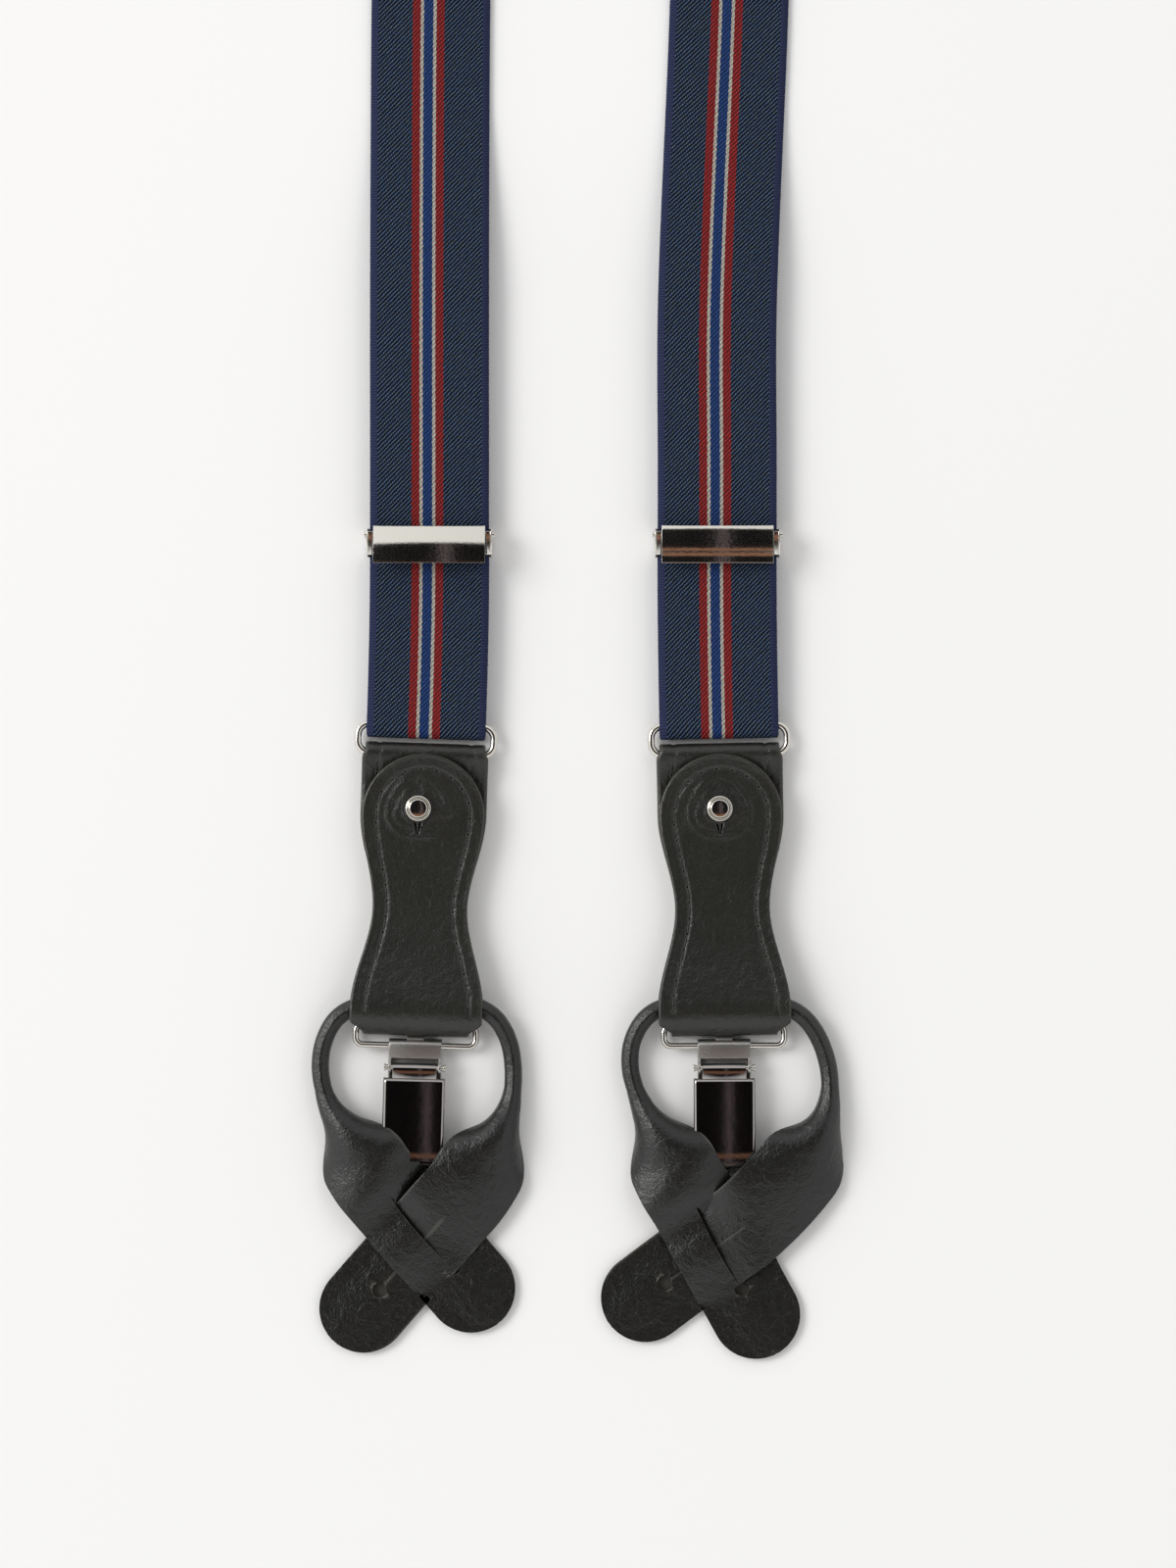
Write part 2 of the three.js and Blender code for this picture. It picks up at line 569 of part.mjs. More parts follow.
function adjusterFrame() {
  const outer = frameInner + 2 * ADJUSTER.wall;
  const bars = [-1, 1].map((side) =>
    box(outer, ADJUSTER.bar, ADJUSTER.plate, 0, (side * (ADJUSTER.height - ADJUSTER.bar)) / 2, frameBarZ),
  );
  const top = pivotZ + 1.3;
  const low = barTop - ADJUSTER.plate;
  const walls = [-1, 1].map((side) =>
    box(ADJUSTER.wall, ADJUSTER.height, top - low, (side * (outer - ADJUSTER.wall)) / 2, 0, (top + low) / 2),
  );
  const hole = crossPin(ADJUSTER.pin + 0.1, outer + 4, ADJUSTER.pinAt, pivotZ);
  return cut(join(...bars, ...walls), hole);
}

function adjusterLever() {
  const { pinAt, leverTop, leverBottom, cam } = ADJUSTER;
  const s = new THREE.Shape(); // (y, z) about the pivot
  const at = (y, z) => [pinAt + y, pivotZ + z];
  s.moveTo(...at(leverTop, 0.1));
  s.lineTo(...at(leverTop - 0.2, 1.0));
  s.quadraticCurveTo(...at(leverTop - 0.9, 1.9), ...at(-1.2, 2.0));
  s.quadraticCurveTo(...at(-5.0, 1.7), ...at(-leverBottom, 0.1));
  s.lineTo(...at(-leverBottom + 0.3, -0.6));
  s.quadraticCurveTo(...at(-5.0, 0.8), ...at(-1.6, 0.9));
  s.lineTo(...at(-0.8, -cam + 0.1));
  s.lineTo(...at(0.1, -cam));
  s.lineTo(...at(1.1, -0.5));
  s.lineTo(...at(1.9, 0.6));
  s.lineTo(...at(leverTop - 0.6, 0.0));
  const hole = crossPin(ADJUSTER.pin + 0.3, adjusterLeverWidth + 4, pinAt, pivotZ);
  return cut(sideExtrude(s, adjusterLeverWidth, 6), hole);
}

const pinLength = frameInner + 2 * ADJUSTER.wall + 1.4;
const adjusterPin = () => crossPin(ADJUSTER.pin, pinLength, ADJUSTER.pinAt, pivotZ);

// ---------- back patch ----------
function patchOutline() {
  const { from, to, arms, stem } = PATCH;
  const s = new THREE.Shape();
  s.moveTo(-arms + 4, from);
  s.lineTo(-6, from);
  s.quadraticCurveTo(0, from + 1, 0, from + 6);
  s.quadraticCurveTo(0, from + 1, 6, from);
  s.lineTo(arms - 4, from);
  s.quadraticCurveTo(arms, from, arms - 0.6, from + 4);
  s.bezierCurveTo(arms - 6, from + 34, stem + 1, from + 42, stem, to - 4);
  s.quadraticCurveTo(stem, to, stem - 4, to);
  s.lineTo(-stem + 4, to);
  s.quadraticCurveTo(-stem, to, -stem, to - 4);
  s.bezierCurveTo(-stem - 1, from + 42, -arms + 6, from + 34, -arms + 0.6, from + 4);
  s.quadraticCurveTo(-arms, from, -arms + 4, from);
  return s;
}

function patchPly(low) {
  const options = { depth: PATCH.thick, bevelEnabled: false, curveSegments: 7 };
  return new THREE.ExtrudeGeometry(patchOutline(), options).translate(PATCH.x, 0, low);
}

const patchWebZ = PATCH.thick + 0.2 + WEB.thick / 2;
const patchTopZ = patchWebZ + WEB.thick / 2 + 0.2;

// ---------- assembly ----------
const suspenders = new THREE.Group();

function add(parent, name, geometry, look) {
  const mesh = new THREE.Mesh(geometry, LOOKS[look]);
  mesh.name = name;
  parent.add(mesh);
}

// Where each strap's end lies: plan position, lean of the tab, and how the loose parts hang.
const ENDS = {
  left: { x: -47.3, y: 0, lean: -2.0, clipLean: 0.5, clipX: 0, studX: -1.4, runnerLean: 2.0, route: "left" },
  right: { x: 38.0, y: 0, lean: 1.1, clipLean: -0.8, clipX: -0.2, studX: -0.3, runnerLean: -1.1, route: "right" },
  rear: { x: PATCH.x, y: REAR_RING_AT, lean: 180, clipLean: 0, clipX: 0, studX: 0, runnerLean: 0, route: "left" },
};

// Plan curves of the straps' middles, from the ring to the patch.
const STRAPS = {
  left: [[-47.3, 0], [-46.8, 16], [-46.3, 40], [-46.2, 80], [-46.2, 125], [-45.9, 215], [-44.0, 300], [-37.2, 390],
    [-25.2, 470], [-12.0, 532]],
  right: [[38.0, 0], [37.7, 16], [37.4, 40], [37.4, 80], [37.4, 125], [41.0, 215], [42.4, 290], [36.0, 380],
    [22.0, 462], [6.0, 532]],
  rear: [[PATCH.x, REAR_RING_AT], [PATCH.x, REAR_RING_AT - 60], [PATCH.x, PATCH.to - 28]],
};
const SLIDE = 60; // travel the adjuster has on the raised straight of the strap
const MITRE = 0.2; // half the gap between the two front straps where they meet in the patch

function strapCurve(name) {
  return new THREE.CatmullRomCurve3(STRAPS[name].map(([x, y]) => new THREE.Vector3(x, y, 0)), false, "centripetal");
}

function frontStrap(name, side) {
  const curve = strapCurve(name);
  const end = curve.getLength();
  const raised = ADJUSTER.at + SLIDE + 12;
  const patchFrom = end - 34;
  const height = (s) => {
    const down = THREE.MathUtils.lerp(webTopZ, webFloorZ, smooth((s - raised) / 60));
    return THREE.MathUtils.lerp(down, patchWebZ, smooth((s - patchFrom + 46) / 26));
  };
  const stub = [[ringBar + 4.2, webBackZ, 0, Math.PI]];
  const web = webbing(curve, [...stub, ...loopStops(), ...spread(ringBar + 4, end, 15, height)]);
  const trim = box(80, 160, 30, PATCH.x - side * (40 - MITRE), PATCH.from + 20, 0);
  return cut(web, trim);
}

function rearStrap() {
  const curve = strapCurve("rear");
  const end = curve.getLength();
  const height = (s) => {
    const over = THREE.MathUtils.lerp(webTopZ, webBackZ + WEB.thick + CLEAR, smooth((s - 6) / 22));
    const down = THREE.MathUtils.lerp(over, webFloorZ, smooth((s - 44) / 26));
    return THREE.MathUtils.lerp(down, patchWebZ, smooth((s - end + 52) / 22));
  };
  const turned = spread(ringBar + 4, 38, 11, () => webBackZ).reverse().map(([s, z]) => [s, z, 0, Math.PI]);
  return webbing(curve, [...turned, ...loopStops(), ...spread(ringBar + 4, end, 9, height)]);
}

// The webbing's cut end comes back under the strap and is sewn round the adjuster's lower bar.
const RETURN_SPLIT = 42.0;
function strapReturn(name) {
  const height = (s) => THREE.MathUtils.lerp(webBackZ, webFloorZ, smooth((s - 14) / 20));
  return webbing(strapCurve(name), spread(ringBar + 4.2 + CLEAR, RETURN_SPLIT, 9, height));
}

function sewnEnd(name) {
  const barY = ADJUSTER.at - (ADJUSTER.height - ADJUSTER.bar) / 2;
  const reach = ADJUSTER.bar / 2 + CLEAR + WEB.thick / 2;
  const turn = Array.from({ length: 7 }, (_, i) => {
    const a = -Math.PI / 2 + (Math.PI * i) / 6;
    return [barY, frameBarZ + Math.sin(a) * sewnRadius, Math.cos(a) * reach, (Math.PI * i) / 6];
  });
  const under = spread(RETURN_SPLIT + CLEAR, barY - 2, 6, () => frameBarZ - sewnRadius);
  const over = spread(RETURN_SPLIT, barY - 2, 6, () => frameBarZ + sewnRadius);
  return webbing(strapCurve(name), [...under, ...turn, ...over.reverse().map(([s, z]) => [s, z, 0, Math.PI])]);
}

function buildEnd(name) {
  const e = ENDS[name];
  const turn = THREE.MathUtils.degToRad;
  const group = new THREE.Group();
  group.position.set(e.x, e.y, 0);
  group.rotation.z = turn(e.lean);
  suspenders.add(group);
  add(group, `${name}_strap_ring`, wireRing(STRAP_RING, strapRingZ), "nickel");
  add(group, `${name}_tab_back`, tabBack(e.studX), "leather");
  add(group, `${name}_tab_flap`, tabFlap(e.studX), "leather");
  add(group, `${name}_stud`, studPost(e.studX), "nickel");
  add(group, `${name}_stud_screw`, studScrew(e.studX), "nickel");

  const ringMiddle = (CLIP_RING.height - CLIP_RING.wire) / 2;
  const hang = new THREE.Group();
  hang.position.set(e.clipX, -TAB.length, 0);
  hang.rotation.z = turn(e.clipLean);
  group.add(hang);
  add(hang, `${name}_clip_ring`, wireRing(CLIP_RING, clipRingZ).translate(0, -ringMiddle, 0), "nickel");
  const clip = new THREE.Group();
  clip.position.set(0, -2 * ringMiddle, 0);
  hang.add(clip);
  add(clip, `${name}_clip_base`, clipBase(), "gunmetal");
  add(clip, `${name}_clip_jaw`, clipJaw(), "gunmetal");
  add(clip, `${name}_clip_pad_back`, clipPad(false), "liner");
  add(clip, `${name}_clip_pad_front`, clipPad(true), "liner");
  add(clip, `${name}_clip_lever`, clipLever(), "gunmetal");
  add(clip, `${name}_clip_pin`, crossPin(CLIP.pin, CLIP.pinLength, pinY, pinZ), "nickel");

  const loop = new THREE.Group();
  loop.position.set(0, 1.7 - TAB.length, 0);
  loop.rotation.z = turn(e.runnerLean);
  group.add(loop);
  add(loop, `${name}_runner`, runnerBand(ROUTES[e.route]), "leather");
}

for (const [name, side] of [["left", -1], ["right", 1]]) {
  add(suspenders, `${name}_strap`, frontStrap(name, side), "webbing");
  add(suspenders, `${name}_strap_return`, strapReturn(name), "webbing");
  add(suspenders, `${name}_strap_sewn_end`, sewnEnd(name), "webbing");
  const slide = new THREE.Group();
  slide.position.set(STRAPS[name][3][0], ADJUSTER.at, 0);
  suspenders.add(slide);
  add(slide, `${name}_adjuster_frame`, adjusterFrame(), "nickel");
  add(slide, `${name}_adjuster_lever`, adjusterLever(), "nickel");
  add(slide, `${name}_adjuster_pin`, adjusterPin(), "nickel");
}
add(suspenders, "rear_strap", rearStrap(), "webbing");
add(suspenders, "patch_back", patchPly(0), "leather");
add(suspenders, "patch_front", patchPly(patchTopZ), "leather");
for (const name of Object.keys(ENDS)) buildEnd(name);

// The part's origin is the middle of its footprint, on the surface that it lies on.
suspenders.updateMatrixWorld(true);
const room = new THREE.Box3().setFromObject(suspenders, true);
suspenders.position.set(-(room.min.x + room.max.x) / 2, -(room.min.y + room.max.y) / 2, -room.min.z);

export default suspenders;
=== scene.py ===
"""Striped webbing suspenders with leather tabs, flip clips and rolled runners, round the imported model."""

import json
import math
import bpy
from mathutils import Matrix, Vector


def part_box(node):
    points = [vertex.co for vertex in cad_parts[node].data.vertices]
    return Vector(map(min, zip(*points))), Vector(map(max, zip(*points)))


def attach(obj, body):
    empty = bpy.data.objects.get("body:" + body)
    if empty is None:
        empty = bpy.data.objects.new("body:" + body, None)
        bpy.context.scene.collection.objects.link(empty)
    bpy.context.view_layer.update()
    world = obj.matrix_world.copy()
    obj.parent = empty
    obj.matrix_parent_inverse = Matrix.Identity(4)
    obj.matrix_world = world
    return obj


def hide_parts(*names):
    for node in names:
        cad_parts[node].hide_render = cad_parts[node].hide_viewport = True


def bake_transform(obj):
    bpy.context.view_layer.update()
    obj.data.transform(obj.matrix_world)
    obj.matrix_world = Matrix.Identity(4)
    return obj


bl_info = {
    "name": "Suspenders",
    "version": (1, 0, 0),
    "blender": (4, 5, 0),
    "location": "View3D > Sidebar > Suspenders",
    "description": "Builds the webbing, leather and metal of a pair of suspenders round their packed frame",
    "category": "Object",
}

import bmesh
import bpy
from mathutils import Matrix, Vector

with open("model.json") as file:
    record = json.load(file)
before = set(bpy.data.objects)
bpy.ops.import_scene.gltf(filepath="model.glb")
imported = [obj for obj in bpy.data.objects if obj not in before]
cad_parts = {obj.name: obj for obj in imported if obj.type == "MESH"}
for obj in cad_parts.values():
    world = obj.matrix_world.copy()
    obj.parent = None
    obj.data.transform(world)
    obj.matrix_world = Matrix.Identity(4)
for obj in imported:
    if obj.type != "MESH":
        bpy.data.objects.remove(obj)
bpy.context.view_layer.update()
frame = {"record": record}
JOINTS = {j["name"]: j for j in frame["record"]["behaviour"]["joints"]}

MM = 0.001
ENDS = ("left", "right", "rear")
FRONTS = ("left", "right")
UP = Vector((0, 0, 1))

# ---------- sizes of the real pieces, in millimetres ----------
GAP = 0.3
LEATHER = 1.8
WEB_THICK = 1.4
RING_Z = 3.15  # middle height of the strap rings
RING_BAR = 4.1  # from a strap ring's middle to each of its bars
LINK_Z = 3.1  # middle height of the clip rings
LINK_DEPTH = 6.0  # between a clip ring's two bars
WEB_LOOP = 2.05  # the webbing's mid radius round its ring bar
WEB_FRONT_Z = 5.2
WEB_BACK_Z = 1.1
WEB_FLOOR_Z = 0.8
TAB_LENGTH = 83.1
END_CENTRE = 22.0
END_RADIUS = 17.8
FLAP_Z = 6.0
CORD_Z = 4.7
STITCH = {"pitch": 4.6, "inset": 4.1}
ADJUSTER_AT = 57.2
SLEEVE_Z = 2.15  # the adjuster's flat bars
PIVOT_ABOVE = 2.2
PIVOT_Z = 8.3
PATCH = {"from": 498.0, "to": 574.0, "arms": 41.0, "stem": 20.5, "x": -3.0, "thick": 1.6, "top": 3.4}
PATCH_WEB_Z = 2.5

# Plan routes of the straps' middles, from their ring to the back patch.
STRAPS = {
    "left": [(-47.3, 0), (-46.8, 16), (-46.3, 40), (-46.2, 80), (-46.2, 125), (-45.9, 215), (-44.0, 300),
             (-37.2, 390), (-25.2, 470), (-12.0, 532)],
    "right": [(38.0, 0), (37.7, 16), (37.4, 40), (37.4, 80), (37.4, 125), (41.0, 215), (42.4, 290),
              (36.0, 380), (22.0, 462), (6.0, 532)],
    "rear": [(-3.0, 700.0), (-3.0, 640.0), (-3.0, 546.0)],
}

# How each runner lies: (x, y, height of its middle) from the fold down to each tongue's tip.
FOLD = [(0, 5.4, 4.75), (10, 4.8, 4.75), (18.6, 3.3, 4.75)]
RUNNERS = {
    "left": {
        "a": [(-23.4, 0.0, 4.6), (-26.9, -6.6, 3.8), (-27.9, -14.6, 3.4), (-25.8, -24.0, 4.2),
              (-21.6, -31.2, 5.8), (-16.8, -38.6, 7.2), (-12.5, -45.5, 7.5), (-9.4, -49.2, 6.6),
              (-4.0, -55.4, 2.9), (1.5, -61.7, 1.9), (10.6, -72.3, 1.1), (24.3, -88.2, 0.95)],
        "b": [(23.4, 0.0, 4.6), (26.9, -6.4, 3.8), (28.2, -14.8, 3.4), (27.6, -23.4, 4.2),
              (24.8, -32.0, 5.8), (20.2, -41.0, 6.8), (15.2, -49.2, 6.6), (8.3, -57.1, 5.2),
              (2.9, -63.4, 2.9), (-3.4, -70.6, 1.1), (-10.7, -78.9, 0.95), (-14.6, -83.4, 0.95),
              (-23.8, -94.0, 0.95)],
        "slit_a": ((-7.7, -51.1), (10.6, -72.3)),
        "slit_b": ((8.3, -57.1), (-10.7, -78.9)),
    },
    "right": {
        "a": [(-23.4, 0.0, 4.6), (-26.9, -6.6, 3.8), (-27.4, -14.6, 3.4), (-24.4, -24.4, 4.2),
              (-20.4, -32.2, 5.8), (-16.0, -40.2, 7.2), (-12.6, -47.2, 7.5), (-10.2, -51.0, 6.6),
              (-6.2, -57.6, 2.9), (-2.0, -65.2, 1.9), (5.0, -78.4, 1.1), (15.4, -97.3, 0.95)],
        "b": [(23.6, 0.0, 4.6), (27.8, -6.4, 3.8), (30.4, -15.6, 3.4), (30.2, -25.4, 4.2),
              (27.2, -34.4, 5.8), (21.4, -43.4, 6.8), (14.2, -51.6, 6.6), (5.9, -59.6, 5.2),
              (-1.2, -65.0, 2.9), (-8.6, -70.4, 1.1), (-17.4, -76.9, 0.95), (-22.6, -80.8, 0.95),
              (-33.4, -88.8, 0.95)],
        "slit_a": ((-8.5, -53.6), (5.0, -78.4)),
        "slit_b": ((5.9, -59.6), (-17.4, -76.9)),
    },
}
RUNNERS["rear"] = RUNNERS["left"]
ROLL = 5.2
TONGUE = 26.0
KEYHOLE = 4.3
STUD_X = {"left": -1.4, "right": -0.3, "rear": 0.0}
STUD_AT = 20.0
STRAP_RING = {"width": 41.7, "height": 10.3, "wire": 2.1, "corner": 3.3}
CLIP_RING = {"width": 36.9, "height": 7.9, "wire": 1.9, "corner": 2.2}
THREAD_HEIGHT = 0.42  # of the seams on the undersides
STRIPE_SHIFT = -0.6  # the stripes run a little left of the strap's middle
STRIPES = (1.4, 2.3, 4.7)  # outer edges of the blue, cream and red, from the stripes' middle
SELVEDGE = 1.8
SELVEDGE_RIB = 0.8


# ---------- properties a user would change ----------
def linear(hex_code):
    """An sRGB hex colour as linear RGBA."""
    parts = [int(hex_code.lstrip("#")[i : i + 2], 16) / 255 for i in (0, 2, 4)]
    return [c / 12.92 if c <= 0.04045 else ((c + 0.055) / 1.055) ** 2.4 for c in parts] + [1.0]


def strap_width():
    """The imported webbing's width, in millimetres."""
    low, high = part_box("rear_strap")
    return (high - low).x / MM


class SuspendersWebbing(bpy.types.PropertyGroup):
    """The elastic webbing."""

    width: bpy.props.FloatProperty(
        name="Width",
        description="Width of the elastic, in millimetres",
        default=strap_width(),
        min=20,
        max=50,
    )
    twill_pitch: bpy.props.FloatProperty(
        name="Twill pitch",
        description="Distance between twill lines across the strap, in millimetres",
        default=1.3,
    )
    thread: bpy.props.FloatProperty(
        name="Thread", description="Spacing of the warp threads, in millimetres", default=0.75
    )
    navy: bpy.props.FloatVectorProperty(
        name="Navy", description="Ground thread", subtype="COLOR", size=4, default=linear("#6480ac")
    )
    # The shade colour fills the gaps between twill dashes: partly the weave's own dark thread, partly painted
    # shade in the grooves.
    shade: bpy.props.FloatVectorProperty(
        name="Shade", description="Thread in the twill's gaps", subtype="COLOR", size=4, default=linear(
            "#00030c"
        )
    )
    red: bpy.props.FloatVectorProperty(
        name="Red", description="Outer stripes", subtype="COLOR", size=4, default=linear("#d84442")
    )
    cream: bpy.props.FloatVectorProperty(
        name="Cream", description="Fine stripes", subtype="COLOR", size=4, default=linear("#fdf6e6")
    )
    royal: bpy.props.FloatVectorProperty(
        name="Royal blue", description="Middle stripe", subtype="COLOR", size=4, default=linear("#3f66b4")
    )


class SuspendersLeather(bpy.types.PropertyGroup):
    """The leather."""

    grain: bpy.props.FloatProperty(
        name="Grain", description="Width of a grain cell, in millimetres", default=0.55, min=0.1, max=3
    )
    face: bpy.props.FloatVectorProperty(
        name="Face", description="Dyed face of the hide", subtype="COLOR", size=4, default=linear("#161713")
    )
    edge: bpy.props.FloatVectorProperty(
        name="Cut edge", description="Edge of the hide", subtype="COLOR", size=4, default=linear("#33322c")
    )


# ---------- placing ----------
def hinge_frame(joint, sign, back=0.0):
    """Row-frame matrix on the floor under a hinge, X along its axis, moved back along its own Y in mm."""
    j = JOINTS[joint]
    x = Vector(j["axis"]) * sign
    y = UP.cross(x)
    place = Matrix((x, y, UP)).transposed().to_4x4()
    at = Vector(j["pos_m"]) - y * back * MM
    place.translation = (at.x, at.y, 0)
    return place


def end_frame(end):
    return hinge_frame(f"{end}_ring_swing", -1, RING_BAR)


def runner_frame(end):
    return hinge_frame(f"{end}_runner_swing", -1, 4.75)


def adjuster_frame(end):
    return hinge_frame(f"{end}_adjuster_lever_open", -1, PIVOT_ABOVE)


def plan_shift():
    """From the strap routes' own origin to the row frame, in millimetres."""
    return end_frame("left").translation / MM - Vector((*STRAPS["left"][0], 0))


def smooth(t):
    t = min(max(t, 0.0), 1.0)
    return t * t * (3 - 2 * t)


def mix(a, b, t):
    return a + (b - a) * t


def bump(x, width):
    """1 at 0, falling smoothly to 0 at width."""
    return 1 - smooth(abs(x) / width)


class Route:
    """A smooth curve through points, looked up by distance along it."""

    def __init__(self, points, steps=24):
        p = [Vector(q).to_3d() for q in points]
        p = [p[0] * 2 - p[1], *p, p[-1] * 2 - p[-2]]
        dense = [p[1]]
        for i in range(1, len(p) - 2):
            dense += [self._between(p[i - 1 : i + 3], k / steps) for k in range(1, steps + 1)]
        self.points = dense
        self.at = [0.0]
        for a, b in zip(dense, dense[1:]):
            self.at.append(self.at[-1] + (b - a).length)
        self.length = self.at[-1]

    @staticmethod
    def _between(p, t):
        """Centripetal Catmull-Rom between p[1] and p[2]."""
        d = [max((b - a).length, 1e-6) ** 0.5 for a, b in zip(p, p[1:])]
        m1 = ((p[1] - p[0]) / d[0] - (p[2] - p[0]) / (d[0] + d[1]) + (p[2] - p[1]) / d[1]) * d[1]
        m2 = ((p[2] - p[1]) / d[1] - (p[3] - p[1]) / (d[1] + d[2]) + (p[3] - p[2]) / d[2]) * d[1]
        h = (2 * t**3 - 3 * t**2 + 1, t**3 - 2 * t**2 + t, 3 * t**2 - 2 * t**3, t**3 - t**2)
        return p[1] * h[0] + m1 * h[1] + p[2] * h[2] + m2 * h[3]

    def point(self, s):
        s = min(max(s, 0.0), self.length)
        low, high = 0, len(self.at) - 1
        while high - low > 1:
            middle = (low + high) // 2
            low, high = (middle, high) if self.at[middle] <= s else (low, middle)
        span = self.at[high] - self.at[low]
        return self.points[low].lerp(self.points[high], (s - self.at[low]) / span)

    def heading(self, s, reach=0.6):
        return (self.point(s + reach) - self.point(s - reach)).normalized()

    def nearest(self, target):
        flat = Vector(target).to_2d()
        return min(zip(self.points, self.at), key=lambda q: (q[0].to_2d() - flat).length)[1]


# ---------- meshes ----------
def mesh_object(name, points, faces, materials, place=None, smooth_faces=True, indices=None):
    """An object from points in millimetres, placed in the row frame."""
    place = place or Matrix.Identity(4)
    mesh = bpy.data.meshes.new(name)
    mesh.from_pydata([place @ (Vector(p) * MM) for p in points], [], faces)
    for material in materials:
        mesh.materials.append(material)
    if indices:
        mesh.polygons.foreach_set("material_index", indices)
    mesh.polygons.foreach_set("use_smooth", [smooth_faces] * len(mesh.polygons))
    mesh.validate()
    shape = bmesh.new()
    shape.from_mesh(mesh)
    bmesh.ops.recalc_face_normals(shape, faces=shape.faces)
    shape.to_mesh(mesh)
    shape.free()
    obj = bpy.data.objects.new(name, mesh)
    bpy.context.scene.collection.objects.link(obj)
    return obj


def add_modifier(obj, kind, **settings):
    modifier = obj.modifiers.new(kind.title(), kind)
    for key, value in settings.items():
        setattr(modifier, key, value)


def apply_modifiers(obj):
    """Keeps the mesh that the modifiers make."""
    depsgraph = bpy.context.evaluated_depsgraph_get()
    made = bpy.data.meshes.new_from_object(obj.evaluated_get(depsgraph), depsgraph=depsgraph)
    obj.modifiers.clear()
    made.name = obj.name
    obj.data = made


def loft(sections, ring=False):
    """Points and faces of a skin over sections with equal numbers of corners."""
    corners = len(sections[0])
    points = [p for section in sections for p in section]
    faces = []
    rows = len(sections) if ring else len(sections) - 1
    for i in range(rows):
        for j in range(corners):
            a, b = i * corners + j, i * corners + (j + 1) % corners
            c, d = [((k // corners + 1) % len(sections)) * corners + k % corners for k in (b, a)]
            faces.append((a, b, c, d))
    if not ring:
        faces.append(tuple(range(corners)))
        faces.append(tuple(reversed(range(len(points) - corners, len(points)))))
    return points, faces


def sweep(path, radius, sides=14, ring=False, radii=None):
    """A round tube along points in millimetres."""
    sections = []
    count = len(path)
    side = None
    for i, p in enumerate(path):
        before, after = path[(i - 1) % count if ring else max(i - 1, 0)], path[
            (i + 1) % count if ring else min(i + 1, count - 1)
        ]
        along = (Vector(after) - Vector(before)).normalized()
        if side is None:
            side = along.cross(UP if abs(along.z) < 0.9 else Vector((1, 0, 0))).normalized()
        side = (side - along * side.dot(along)).normalized()
        other = along.cross(side)
        r = radii[i] if radii else radius
        turn = [2 * math.pi * k / sides for k in range(sides)]
        sections.append([Vector(p) + side * math.cos(a) * r + other * math.sin(a) * r for a in turn])
    return loft(sections, ring=ring)


def joined(parts):
    """One list of points and faces from several."""
    points, faces = [], []
    for more_points, more_faces in parts:
        start = len(points)
        points += more_points
        faces += [tuple(start + i for i in face) for face in more_faces]
    return points, faces


def lathe(profile, centre, sides=40):
    """A turned solid from (radius, height) points, closed on its axis at both ends."""
    points, faces = [], []
    rows = []
    for r, z in profile:
        if r < 1e-6:
            rows.append([len(points)])
            points.append(Vector((centre[0], centre[1], z)))
        else:
            rows.append(list(range(len(points), len(points) + sides)))
            turn = [2 * math.pi * k / sides for k in range(sides)]
            points += [Vector((centre[0] + r * math.cos(a), centre[1] + r * math.sin(a), z)) for a in turn]
    for a, b in zip(rows, rows[1:]):
        for k in range(sides):
            n = (k + 1) % sides
            if len(a) == 1:
                faces.append((a[0], b[k], b[n]))
            elif len(b) == 1:
                faces.append((a[k], b[0], a[n]))
            else:
                faces.append((a[k], b[k], b[n], a[n]))
    return points, faces


def side_plate(outline, low, high):
    """A plate whose outline in (y, z) is extruded across X from low to high."""
    a = [Vector((low, y, z)) for y, z in outline]
    b = [Vector((high, y, z)) for y, z in outline]
    return loft([a, b])


def rounded(corners, radius, steps=5):
    """A (y, z) polyline with its inner corners rounded."""
    made = [corners[0]]
    for before, here, after in zip(corners, corners[1:], corners[2:]):
        p, q, r = Vector(before), Vector(here), Vector(after)
        reach = min(radius, (p - q).length * 0.45, (r - q).length * 0.45)
        start, end = q + (p - q).normalized() * reach, q + (r - q).normalized() * reach
        for k in range(steps + 1):
            t = k / steps
            made.append(tuple((start * (1 - t) + q * t).lerp(q * (1 - t) + end * t, t)))
    return [*made, corners[-1]]


def bent_plate(corners, thick, low, high, radius=0.6):
    """Sheet metal that follows rounded (y, z) corners, from x = low to x = high."""
    line = [Vector(p) for p in rounded(corners, radius)]
    left, right = [], []
    for i, p in enumerate(line):
        along = (line[min(i + 1, len(line) - 1)] - line[max(i - 1, 0)]).normalized()
        off = Vector((-along.y, along.x)) * thick / 2
        left.append(tuple(p + off))
        right.append(tuple(p - off))
    return side_plate(left + right[::-1], low, high)


def metal_piece(name, parts, material, place, body, replaced, bevel=0.12):
    """Parts joined into one piece of metal or nylon, with its edges eased by bevel, that rides on a body."""
    points, faces = joined(parts)
    obj = mesh_object(name, points, faces, [material], place)
    if bevel:
        add_modifier(
            obj, "BEVEL", width=bevel * MM, segments=3, limit_method="ANGLE", angle_limit=math.radians(35)
        )
        apply_modifiers(obj)
    obj.data.set_sharp_from_angle(angle=math.radians(42))
    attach(obj, body)
    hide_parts(*replaced)


# ---------- materials ----------
def add(tree, kind, inputs=(), out=0, to=None, **settings):
    """Adds a shader node with its settings, values and links, and gives one of its outputs.

    inputs are values or sockets by name or number, or in order. to is a socket that the output also feeds.
    """
    made = tree.nodes.new("ShaderNode" + kind)
    for key, value in settings.items():
        setattr(made, key, value)
    for key, value in inputs.items() if isinstance(inputs, dict) else enumerate(inputs):
        if isinstance(value, bpy.types.NodeSocket):
            tree.links.new(value, made.inputs[key])
        else:
            made.inputs[key].default_value = value
    if to:
        tree.links.new(made.outputs[out], to)
    return made.outputs[out]


